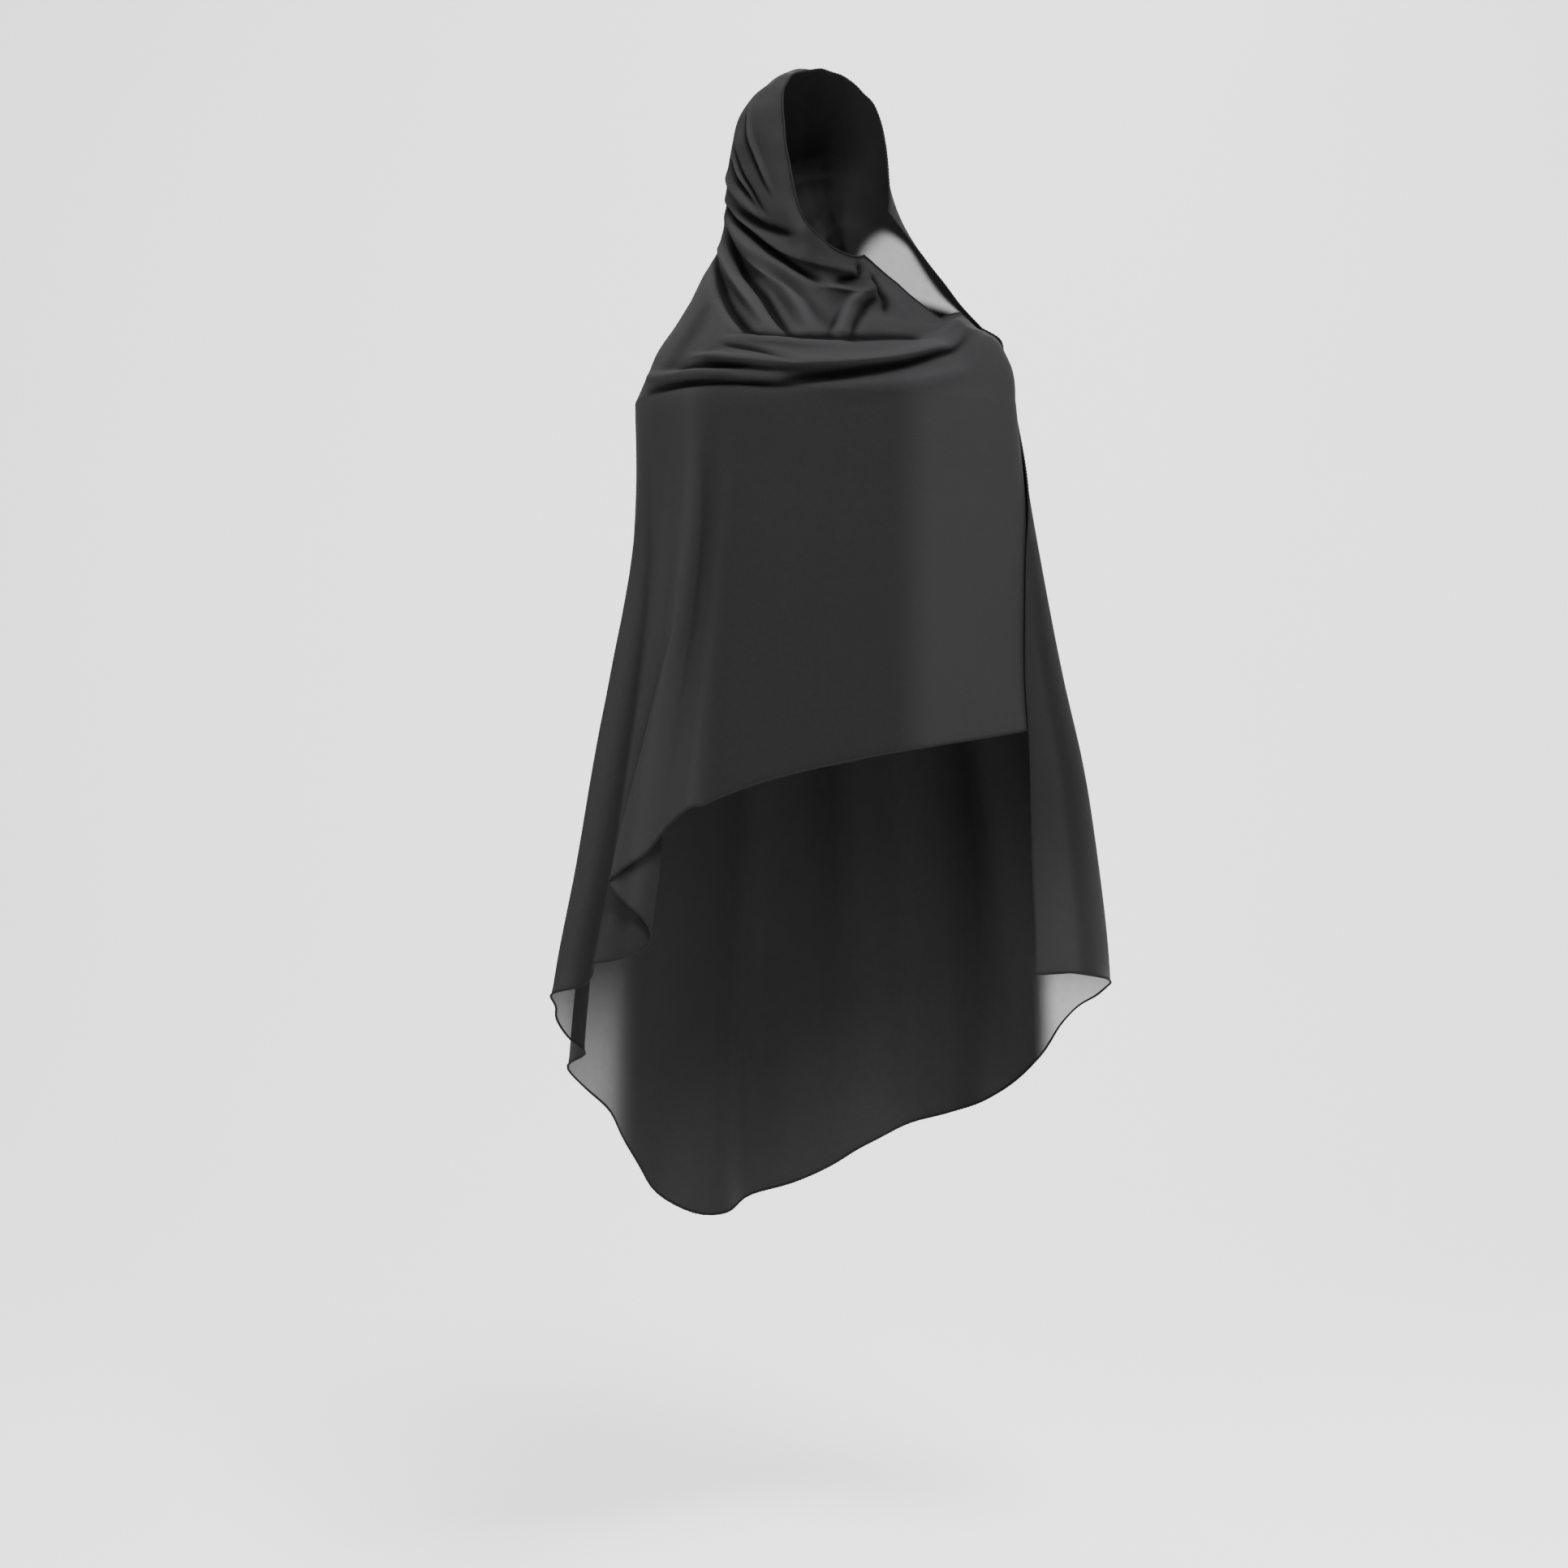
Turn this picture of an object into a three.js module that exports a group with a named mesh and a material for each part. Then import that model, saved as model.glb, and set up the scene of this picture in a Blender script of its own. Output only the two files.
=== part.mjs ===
// Chiffon hijab: one long sheet with a rolled hem, wrapped over the head, under the chin, across the
// chest and over both arms, and pinned at the left jaw. Millimetres, +Z up. The origin is the crown,
// the face looks along -Y and the wearer's left is +X.
import * as THREE from "three";

// Cloth, hem and pin
const clothWall = 1.6;
const rollWidth = 3;
const clearance = 0.3;
const pinLength = 34;
const pinThickness = 1.4;

// Hood
const hoodHalfWidth = 84;
const hoodHalfDepth = 100;
const hoodHeight = 215;

// Shoulders and chest
const shoulderDrop = 175;
const shoulderHalfWidth = 250;
const chestHalfDepth = 130;

// Cape
const hemHalfWidth = 372;
const hemHalfDepth = 190;
const frontLength = 812;
const sideLength = 1050;
const backLength = 1330;
const layerGap = 7;
const capeStart = 0.95;
const shoulderBlend = 0.3;

// Sizes of the folds
const foldDepth = 10;
const foldWidth = 12;
const pleatOverlap = 104;
const pleatDepth = 30;

// Grid of the sheet
const columnCount = 56;
const hoodRowsPerRing = 2;
const capeRowCount = 19;

// Rings round the head, from the face edge to the lower jaw. x is in shares of hoodHalfWidth, y of
// hoodHalfDepth and z of hoodHeight.
const hoodRings = [
  { leftX: 0.8, leftY: -0.56, leftZ: -0.42, backY: -0.24, backZ: -0.025,
    rightX: -0.8, rightY: -0.52, rightZ: -0.42, frontY: -0.7, frontZ: -0.92, square: 0.13 },
  { leftX: 0.89, leftY: -0.32, leftZ: -0.47, backY: 0.04, backZ: 0,
    rightX: -0.91, rightY: -0.28, rightZ: -0.47, frontY: -0.74, frontZ: -0.98, square: 0.11 },
  { leftX: 0.92, leftY: -0.06, leftZ: -0.54, backY: 0.4, backZ: -0.025,
    rightX: -0.98, rightY: -0.02, rightZ: -0.54, frontY: -0.77, frontZ: -1.05, square: 0.08 },
  { leftX: 0.88, leftY: 0.1, leftZ: -0.63, backY: 0.7, backZ: -0.14,
    rightX: -1, rightY: 0.14, rightZ: -0.63, frontY: -0.79, frontZ: -1.115, square: 0.05 },
  { leftX: 0.84, leftY: 0.18, leftZ: -0.74, backY: 0.88, backZ: -0.32,
    rightX: -0.99, rightY: 0.22, rightZ: -0.75, frontY: -0.81, frontZ: -1.18, square: 0.02 },
  { leftX: 0.84, leftY: 0.18, leftZ: -0.87, backY: 0.92, backZ: -0.53,
    rightX: -1, rightY: 0.22, rightZ: -0.88, frontY: -0.83, frontZ: -1.24, square: 0.02 },
  { leftX: 0.92, leftY: 0.12, leftZ: -1.01, backY: 0.92, backZ: -0.76,
    rightX: -1.08, rightY: 0.18, rightZ: -1.02, frontY: -0.87, frontZ: -1.31, square: 0.03 },
];

// Rings from the neck to the shoulders. x runs in shares from hoodHalfWidth to shoulderHalfWidth, y is
// in shares of chestHalfDepth and z in shares of shoulderDrop, below the hood.
const shoulderRings = [
  { leftX: 0.08, leftY: 0, leftZ: -0.14, backY: 0.73, backZ: 0.01,
    rightX: -0.16, rightY: 0.05, rightZ: -0.16, frontY: -0.75, frontZ: -0.46, square: 0.04 },
  { leftX: 0.3, leftY: -0.08, leftZ: -0.29, backY: 0.77, backZ: -0.25,
    rightX: -0.33, rightY: -0.06, rightZ: -0.36, frontY: -0.82, frontZ: -0.57, square: 0.05 },
  { leftX: 0.56, leftY: -0.18, leftZ: -0.45, backY: 0.83, backZ: -0.52,
    rightX: -0.53, rightY: -0.16, rightZ: -0.58, frontY: -0.92, frontZ: -0.68, square: 0.06 },
  { leftX: 0.74, leftY: -0.29, leftZ: -0.68, backY: 0.9, backZ: -0.8,
    rightX: -0.76, rightY: -0.26, rightZ: -0.8, frontY: -1.02, frontZ: -0.8, square: 0.07 },
  { leftX: 0.82, leftY: -0.36, leftZ: -0.97, backY: 0.94, backZ: -1.05,
    rightX: -0.93, rightY: -0.36, rightZ: -1.03, frontY: -1.1, frontZ: -0.97, square: 0.08 },
];

// Sections of the cape from the shoulders down, evenly spaced over backLength. x runs in shares from
// shoulderHalfWidth to hemHalfWidth, y from chestHalfDepth to hemHalfDepth (side in hemHalfDepth).
const capeSections = [
  { left: -0.22, right: -0.14, side: -0.25, front: 0.1, back: -0.14, square: 0.08 },
  { left: -0.06, right: -0.13, side: -0.26, front: 0.22, back: -0.1, square: 0.08 },
  { left: 0.13, right: -0.04, side: -0.27, front: 0.3, back: -0.04, square: 0.08 },
  { left: 0.36, right: 0.12, side: -0.28, front: 0.38, back: 0.04, square: 0.07 },
  { left: 0.6, right: 0.3, side: -0.29, front: 0.48, back: 0.14, square: 0.07 },
  { left: 0.77, right: 0.48, side: -0.3, front: 0.6, back: 0.24, square: 0.06 },
  { left: 0.9, right: 0.68, side: -0.3, front: 0.76, back: 0.34, square: 0.05 },
  { left: 0.98, right: 0.8, side: -0.28, front: 0.88, back: 0.42, square: 0.04 },
  { left: 1, right: 0.82, side: -0.26, front: 0.94, back: 0.5, square: 0.04 },
  { left: 1, right: 0.82, side: -0.24, front: 1, back: 0.56, square: 0.04 },
];

// Height of the hem round the body, each row a share of the length that it follows. Angles in degrees
// run from the wearer's left (0) over the back (90) and the right (180) to the front (270).
const hemHeights = [
  { angle: -52, length: sideLength, share: 0.985 },
  { angle: -20, length: sideLength, share: 1.004 },
  { angle: 4, length: sideLength, share: 1.03 },
  { angle: 14, length: sideLength, share: 1.056 },
  { angle: 22, length: sideLength, share: 1.096 },
  { angle: 32, length: backLength, share: 0.898 },
  { angle: 45, length: backLength, share: 0.918 },
  { angle: 62, length: backLength, share: 0.948 },
  { angle: 80, length: backLength, share: 0.985 },
  { angle: 96, length: backLength, share: 1 },
  { angle: 106, length: backLength, share: 0.975 },
  { angle: 120, length: backLength, share: 0.905 },
  { angle: 130, length: backLength, share: 0.872 },
  { angle: 138, length: backLength, share: 0.85 },
  { angle: 150, length: sideLength, share: 1.045 },
  { angle: 159, length: sideLength, share: 1.018 },
  { angle: 168, length: sideLength, share: 0.998 },
  { angle: 180, length: sideLength, share: 0.976 },
  { angle: 193, length: sideLength, share: 0.942 },
  { angle: 203, length: sideLength, share: 0.9 },
  { angle: 214, length: sideLength, share: 0.858 },
  { angle: 218, length: frontLength, share: 1.05 },
  { angle: 226, length: frontLength, share: 1.035 },
  { angle: 242, length: frontLength, share: 1.007 },
  { angle: 256, length: frontLength, share: 0.986 },
  { angle: 275, length: frontLength, share: 0.961 },
  { angle: 300, length: frontLength, share: 0.936 },
  { angle: 330, length: frontLength, share: 0.915 },
  { angle: 372, length: frontLength, share: 0.9 },
];

// Where the sheet starts and ends round each ring, in degrees.
const sheetEnds = [
  { ring: 0, start: -38, end: 300 },
  { ring: 2, start: -36, end: 312 },
  { ring: 4, start: -33, end: 322 },
  { ring: 7, start: -29, end: 336 },
  { ring: 9, start: -26, end: 350 },
  { ring: 11, start: -24, end: 364 },
  { ring: 11.3, start: -48.5, end: 368 },
  { ring: 11.6, start: -58, end: 371 },
  { ring: 12, start: -62.5, end: 372 },
];
const backCornerAngle = 96;

// The two free edges run taut from the head to a foot on the left shoulder and hang freely again from
// a ring further down. x is in shares of shoulderHalfWidth, y of chestHalfDepth and z of shoulderDrop,
// below the hood. The cloth is drawn along over a spread of degrees from the edge.
const bandFoot = { ring: 8, x: 0.8, y: -0.45, z: -0.43, free: 10.6, spread: 44 };
const tuckFoot = { ring: 8, x: 0.75, y: -0.37, z: -0.49, free: 10, spread: 75 };

// Where the two layers at the left part: the outer one up to an angle, the inner one from an angle, each
// with a run in degrees over which it comes away, and both from a ring on.
const outerLayer = { angle: 20, run: 60 };
const innerLayer = { angle: 285, run: 40 };
const layersPart = { ring: 6, run: 3 };

// Where the wrap is pinned, in shares of the hood's sizes.
const pinPlace = { x: 0.33, y: -0.7, z: -1.03 };

// Folds in the hood, neck and chest, each a curve from one place to another over a place in between.
// Depth and width are shares of foldDepth and foldWidth, and droop lets a fold sag over what is below.
const ridgeFolds = [
  { from: [146, 1.6], over: [176, 1.6], to: [206, 1.4], depth: 0.35, width: 0.8, droop: 0 },
  { from: [140, 3.3], over: [185, 2.8], to: [212, 2.2], depth: 0.5, width: 0.8, droop: 0 },
  { from: [146, 4.8], over: [200, 3.8], to: [242, 2.8], depth: 0.6, width: 0.8, droop: 0 },
  { from: [148, 5.4], over: [204, 4.9], to: [250, 5.5], depth: 0.7, width: 0.8, droop: 0.2 },
  { from: [168, 5.0], over: [218, 6.3], to: [248, 8.2], depth: 0.8, width: 0.9, droop: 0.3 },
  { from: [148, 5.8], over: [194, 7.1], to: [230, 8.6], depth: 0.8, width: 0.9, droop: 0.3 },
  { from: [290, 1.6], over: [268, 5.2], to: [258, 8.5], depth: 0.7, width: 0.8, droop: 0 },
  { from: [204, 9.0], over: [244, 8.7], to: [318, 7.6], depth: 0.6, width: 0.7, droop: 0 },
  { from: [202, 10], over: [256, 9.7], to: [326, 7.9], depth: 1.2, width: 0.9, droop: 0.9 },
  { from: [168, 10.4], over: [212, 10.5], to: [262, 10.6], depth: 0.9, width: 0.8, droop: 0.7 },
];

// Folds that hang from the shoulders and grow towards the hem. Depth is a share of pleatDepth, overlap
// of pleatOverlap, and start is how far down the cape the fold begins.
const drapeFolds = [
  { angle: 202, span: 16, depth: 1, overlap: 1, start: 0.2 },
  { angle: 143, span: 8, depth: -0.7, overlap: 0, start: 0.4 },
  { angle: 128, span: 9, depth: 0.6, overlap: 0, start: 0.3 },
  { angle: 105, span: 10, depth: 0.6, overlap: 0, start: 0.15 },
  { angle: 82, span: 10, depth: 0.65, overlap: 0, start: 0.2 },
  { angle: 56, span: 11, depth: 0.6, overlap: 0, start: 0.2 },
  { angle: 27, span: 8, depth: 0.5, overlap: 0, start: 0.45 },
];

const lastRing = hoodRings.length + shoulderRings.length - 1;
const hemRing = lastRing + 1;
const degree = Math.PI / 180;
const capeTop = -hoodHeight - shoulderDrop * capeStart;
const capeBottom = -backLength;

function mix(a, b, share) {
  return a + (b - a) * share;
}

function smooth(share) {
  const x = Math.min(1, Math.max(0, share));
  return x * x * (3 - 2 * x);
}

// A value read from a table, with a smooth curve between its rows.
function curveThrough(rows, key, column, at) {
  const last = rows.length - 1;
  let i = 0;
  while (i < last - 1 && at > rows[i + 1][key]) i += 1;
  const share = (at - rows[i][key]) / (rows[i + 1][key] - rows[i][key]);
  const slope = (j) => {
    const a = rows[Math.max(0, j - 1)];
    const b = rows[Math.min(last, j + 1)];
    return (b[column] - a[column]) / (b[key] - a[key]);
  };
  const step = rows[i + 1][key] - rows[i][key];
  const t = Math.min(1, Math.max(0, share));
  const t2 = t * t;
  const t3 = t2 * t;
  return (
    (2 * t3 - 3 * t2 + 1) * rows[i][column] +
    (t3 - 2 * t2 + t) * step * slope(i) +
    (3 * t2 - 2 * t3) * rows[i + 1][column] +
    (t3 - t2) * step * slope(i + 1)
  );
}

// The four lines that the rings follow down the sheet.
function hoodPoint(row, side) {
  const x = side === "back" || side === "front" ? 0 : row[side + "X"];
  return new THREE.Vector3(
    x * hoodHalfWidth,
    row[side + "Y"] * hoodHalfDepth,
    row[side + "Z"] * hoodHeight,
  );
}

function shoulderPoint(row, side) {
  const share = side === "back" || side === "front" ? 0 : row[side + "X"];
  const reach = mix(hoodHalfWidth, shoulderHalfWidth, Math.abs(share));
  return new THREE.Vector3(
    Math.sign(share) * reach,
    row[side + "Y"] * chestHalfDepth,
    -hoodHeight + row[side + "Z"] * shoulderDrop,
  );
}

const ringSquares = [...hoodRings, ...shoulderRings].map((row) => row.square);
const meridians = {};
for (const side of ["left", "back", "right", "front"]) {
  const points = [
    ...hoodRings.map((row) => hoodPoint(row, side)),
    ...shoulderRings.map((row) => shoulderPoint(row, side)),
  ];
  meridians[side] = new THREE.CatmullRomCurve3(points, false, "catmullrom", 0.5);
}

// A smooth closed curve through four points, a quarter turn apart, squarer towards the front.
function loopPoint(corners, frontSquare, angle) {
  const square = frontSquare * (0.5 - 0.5 * Math.sin(angle));
  const c = (1 + square) * Math.cos(angle) - square * Math.cos(3 * angle);
  const s = (1 + square) * Math.sin(angle) + square * Math.sin(3 * angle);
  const twice = Math.cos(2 * angle);
  const { left, back, right, front } = corners;
  return new THREE.Vector3()
    .addScaledVector(left, 0.25 + c / 2 + twice / 4)
    .addScaledVector(right, 0.25 - c / 2 + twice / 4)
    .addScaledVector(back, 0.25 + s / 2 - twice / 4)
    .addScaledVector(front, 0.25 - s / 2 - twice / 4);
}

function hoodSurface(angle, ring) {
  const share = Math.min(1, Math.max(0, ring / lastRing));
  const corners = {
    left: meridians.left.getPoint(share),
    back: meridians.back.getPoint(share),
    right: meridians.right.getPoint(share),
    front: meridians.front.getPoint(share),
  };
  const low = Math.min(lastRing - 1, Math.floor(ring));
  const square = mix(ringSquares[low], ringSquares[low + 1], ring - low);
  return loopPoint(corners, square, angle);
}

const capeRows = capeSections.map((row, i) => ({
  ...row,
  height: mix(-capeTop, -capeBottom, i / (capeSections.length - 1)),
}));

// A point of the cape at a height, before its folds.
function capeSurface(angle, z) {
  const at = (column) => curveThrough(capeRows, "height", column, -z);
  const side = at("side") * hemHalfDepth;
  const corners = {
    left: new THREE.Vector3(mix(shoulderHalfWidth, hemHalfWidth, at("left")), side, z),
    back: new THREE.Vector3(0, mix(chestHalfDepth, hemHalfDepth, at("back")), z),
    right: new THREE.Vector3(-mix(shoulderHalfWidth, hemHalfWidth, at("right")), side, z),
    front: new THREE.Vector3(0, -mix(chestHalfDepth, hemHalfDepth, at("front")), z),
  };
  return loopPoint(corners, at("square"), angle);
}

const hemRows = hemHeights.map((row) => ({ angle: row.angle, height: -row.length * row.share }));

// Rings down to the shoulders, then the cape down to the hem.
function roundSurface(angle, ring) {
  if (ring <= lastRing) return hoodSurface(angle, ring);
  const top = hoodSurface(angle, lastRing);
  const down = ring - lastRing;
  const hem = hemHeight(angle);
  const step = top.clone().sub(capeSurface(angle, top.z));
  const fade = 1 - smooth(down / shoulderBlend);
  return capeSurface(angle, mix(top.z, hem, down)).addScaledVector(step, fade);
}

function startAngle(ring) {
  return curveThrough(sheetEnds, "ring", "start", ring) * degree;
}

function endAngle(ring) {
  return curveThrough(sheetEnds, "ring", "end", ring) * degree;
}

function footPoint(foot) {
  return new THREE.Vector3(
    foot.x * shoulderHalfWidth,
    foot.y * chestHalfDepth,
    -hoodHeight + foot.z * shoulderDrop,
  );
}

const bandTop = roundSurface(startAngle(0), 0);
const pinPoint = new THREE.Vector3(
  pinPlace.x * hoodHalfWidth,
  pinPlace.y * hoodHalfDepth,
  pinPlace.z * hoodHeight,
);

// How far a free edge is pulled away from the rings: onto a straight line down to its foot, then back.
function edgePull(top, foot, edgeAngle, ring) {
  const held = Math.min(ring, foot.ring);
  const line = top.clone().lerp(footPoint(foot), held / foot.ring);
  const pull = line.sub(roundSurface(edgeAngle(held), held));
  return pull.multiplyScalar(1 - smooth((ring - foot.ring) / (foot.free - foot.ring)));
}

// The sheet before its folds, its edges pulled onto their lines and the layers at the left kept apart.
function plainSurface(angle, ring) {
  const point = roundSurface(angle, ring);
  const fromStart = (angle - startAngle(ring)) / degree;
  const fromEnd = (endAngle(ring) - angle) / degree;
  const bandShare = 1 - smooth(fromStart / bandFoot.spread);
  const tuckShare = 1 - smooth(fromEnd / tuckFoot.spread);
  if (bandShare > 0) point.addScaledVector(edgePull(bandTop, bandFoot, startAngle, ring), bandShare);
  if (tuckShare > 0) point.addScaledVector(edgePull(pinPoint, tuckFoot, endAngle, ring), tuckShare);
  const outer = 1 - smooth((angle / degree - outerLayer.angle) / outerLayer.run);
  const inner = smooth((angle / degree - innerLayer.angle) / innerLayer.run);
  const parted = smooth((ring - layersPart.ring) / layersPart.run);
  const apart = (layerGap / 2) * (outer - inner) * parted;
  const reach = Math.hypot(point.x, point.y);
  point.x += (point.x / reach) * apart;
  point.y += (point.y / reach) * apart;
  point.z += apart * (1 - smooth(ring - lastRing));
  return point;
}

// How high a fold stands at a place of the sheet. Rings lie about ringStep apart and a degree along a
// fold counts as degreeStep, which turns places into lengths.
const ringStep = 26;
const degreeStep = 0.4;
const foldSteps = 12;
const foldEnd = 0.02;
const foldTaper = 0.8;

function foldHeight(fold, angle, ring) {
  let nearest = Infinity;
  let along = 0;
  for (let i = 0; i <= foldSteps; i += 1) {
    const f = i / foldSteps;
    const a = (1 - f) * (1 - f) * fold.from[0] + 2 * f * (1 - f) * fold.over[0] + f * f * fold.to[0];
    const r = (1 - f) * (1 - f) * fold.from[1] + 2 * f * (1 - f) * fold.over[1] + f * f * fold.to[1];
    const away = Math.hypot((angle / degree - a) * degreeStep, (ring - r) * ringStep);
    if (away < nearest) {
      nearest = away;
      along = f;
    }
  }
  const taper = Math.sin(Math.PI * mix(foldEnd, 1 - foldEnd, along)) ** foldTaper;
  const across = nearest / (fold.width * foldWidth);
  return fold.depth * foldDepth * taper * Math.exp(-across * across);
}

// The ring count that a length down the cape would have, so that folds go on below the last ring.
function ringsDown(angle, ring) {
  if (ring <= lastRing) return { rings: ring, scale: 1 };
  const scale = (capeTop - hemHeight(angle)) / ringStep;
  return { rings: lastRing + (ring - lastRing) * scale, scale };
}

// Shapes of the hanging folds: how sharply a plain one stands up, and for the overlapping one how
// quickly its layers part and how soon they come together again beside it.
const standSharpness = 1.2;
const partSharpness = 1.6;
const closeSharpness = 0.35;

// How a hanging fold moves a place: round the body in radians and out of the cloth in millimetres.
function drapeShift(fold, angle, down) {
  const place = (angle / degree - fold.angle) / fold.span;
  const grown = smooth((down - fold.start) / (1 - fold.start));
  if (fold.overlap === 0) {
    const stand = Math.exp(-place * place * standSharpness);
    return { slide: 0, lift: stand * pleatDepth * fold.depth * grown };
  }
  const wave = Math.sin(Math.PI * Math.min(1, Math.max(-1, place)));
  const near = Math.exp(-(Math.abs(place) ** 3) * closeSharpness);
  return {
    slide: (-wave * pleatOverlap * fold.overlap * grown) / hemHalfWidth,
    lift: (Math.tanh(place * partSharpness) * near * pleatDepth * fold.depth * grown) / 2,
  };
}

function topHeight(angle) {
  return hoodSurface(angle, lastRing).z;
}

function hemHeight(angle) {
  return curveThrough(hemRows, "angle", "height", angle / degree);
}

// The sheet with its folds, as a place on the plain sheet and a height above it.
function foldedPlace(angle, ring) {
  const { rings } = ringsDown(angle, ring);
  let height = 0;
  let droop = 0;
  for (const fold of ridgeFolds) {
    const h = foldHeight(fold, angle, rings);
    height += h;
    droop += (h * fold.droop) / ringStep;
  }
  const sunk = rings + droop;
  const { scale } = ringsDown(angle, hemRing);
  const place = sunk <= lastRing ? sunk : lastRing + (sunk - lastRing) / scale;
  if (ring <= lastRing) return { angle, ring: place, height };
  let slid = angle;
  for (const fold of drapeFolds) {
    const { slide, lift } = drapeShift(fold, angle, ring - lastRing);
    slid += slide;
    height += lift;
  }
  const z = mix(topHeight(angle), hemHeight(angle), place - lastRing);
  const top = topHeight(slid);
  return { angle: slid, ring: lastRing + (z - top) / (hemHeight(slid) - top), height };
}

// The direction out of the cloth, from the sheet before its folds.
function outward(angle, ring) {
  const e = 0.01;
  const along = plainSurface(angle + e, ring).sub(plainSurface(angle - e, ring));
  const down = plainSurface(angle, ring + e).sub(plainSurface(angle, Math.max(0, ring - e)));
  return down.cross(along).normalize();
}

// A point of the finished sheet: "across" runs from its start to its end round the ring, 0 to 1.
function sheetPoint(across, ring) {
  const place = foldedPlace(mix(startAngle(ring), endAngle(ring), across), ring);
  const point = plainSurface(place.angle, place.ring);
  return point.addScaledVector(outward(place.angle, place.ring), place.height);
}

// Places of the grid lines, closer together across the overlapping fold.
const pleatColumns = 2.4;
const placeSteps = 2000;

function columnPlaces() {
  const pleat = drapeFolds[0];
  const first = sheetEnds[sheetEnds.length - 1].start;
  const last = sheetEnds[sheetEnds.length - 1].end;
  const centre = (pleat.angle - first) / (last - first);
  const span = pleat.span / (last - first);
  const weight = (x) => 1 + pleatColumns * Math.exp(-(((x - centre) / span) ** 4));
  let total = 0;
  const sums = [0];
  for (let i = 0; i < placeSteps; i += 1) {
    total += weight((i + 0.5) / placeSteps);
    sums.push(total);
  }
  const places = [];
  let i = 0;
  for (let column = 0; column <= columnCount; column += 1) {
    const wanted = (total * column) / columnCount;
    while (i < placeSteps - 1 && sums[i + 1] < wanted) i += 1;
    places.push(Math.min(1, (i + (wanted - sums[i]) / (sums[i + 1] - sums[i])) / placeSteps));
  }
  places[columnCount] = 1;
  return places;
}

function rowPlaces() {
  const places = [];
  for (let i = 0; i < lastRing * hoodRowsPerRing; i += 1) places.push(i / hoodRowsPerRing);
  for (let i = 0; i <= capeRowCount; i += 1) places.push(lastRing + i / capeRowCount);
  return places;
}

const columns = columnPlaces();
const rows = rowPlaces();
const sheet = rows.map((ring) => columns.map((across) => sheetPoint(across, ring)));

// Unit normals of the grid, out of the cloth.
const normals = sheet.map((line, r) =>
  line.map((point, c) => {
    const along = line[Math.min(c + 1, columnCount)].clone().sub(line[Math.max(c - 1, 0)]);
    const down = sheet[Math.min(r + 1, rows.length - 1)][c].clone();
    down.sub(sheet[Math.max(r - 1, 0)][c]);
    return new THREE.Vector3().crossVectors(down, along).normalize();
  }),
);

function meshOf(name, points, triangles, material) {
  const geometry = new THREE.BufferGeometry();
  geometry.setAttribute("position", new THREE.Float32BufferAttribute(points.flatMap((p) => [p.x, p.y, p.z]), 3));
  geometry.setIndex(triangles.flat());
  geometry.computeVertexNormals();
  const mesh = new THREE.Mesh(geometry, material);
  mesh.name = name;
  return mesh;
}

// The sheet as a closed wall.
function makeSheet(material) {
  const wide = columnCount + 1;
  const outer = sheet.flat();
  const unit = normals.flat();
  const inner = outer.map((p, i) => p.clone().addScaledVector(unit[i], -clothWall));
  const points = [...outer, ...inner];
  const under = outer.length;
  const triangles = [];
  const quad = (a, b, c, d) => triangles.push([a, b, c], [a, c, d]);
  for (let r = 0; r < rows.length - 1; r += 1) {
    for (let c = 0; c < columnCount; c += 1) {
      const a = r * wide + c;
      quad(a, a + wide, a + wide + 1, a + 1);
      quad(under + a, under + a + 1, under + a + wide + 1, under + a + wide);
    }
  }
  const rim = rimPlaces().map(([r, c]) => r * wide + c);
  rim.forEach((a, i) => {
    const b = rim[(i + 1) % rim.length];
    quad(b, a, under + a, under + b);
  });
  return meshOf("shawl", points, triangles, material);
}

// The rim as grid places, once round: down the start, along the hem, up the end, back round the face.
function rimPlaces() {
  const lastRow = rows.length - 1;
  const places = [];
  for (let r = 0; r < lastRow; r += 1) places.push([r, 0]);
  for (let c = 0; c < columnCount; c += 1) places.push([lastRow, c]);
  for (let r = lastRow; r > 0; r -= 1) places.push([r, columnCount]);
  for (let c = columnCount; c > 0; c -= 1) places.push([0, c]);
  return places;
}

// A rolled hem: a square tube just past the sheet's rim, from one place of the rim to another. It stands
// off a little more where the rim turns and where the cloth folds.
const turnRoom = 0.4;
const twistRoom = 1.8;

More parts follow.
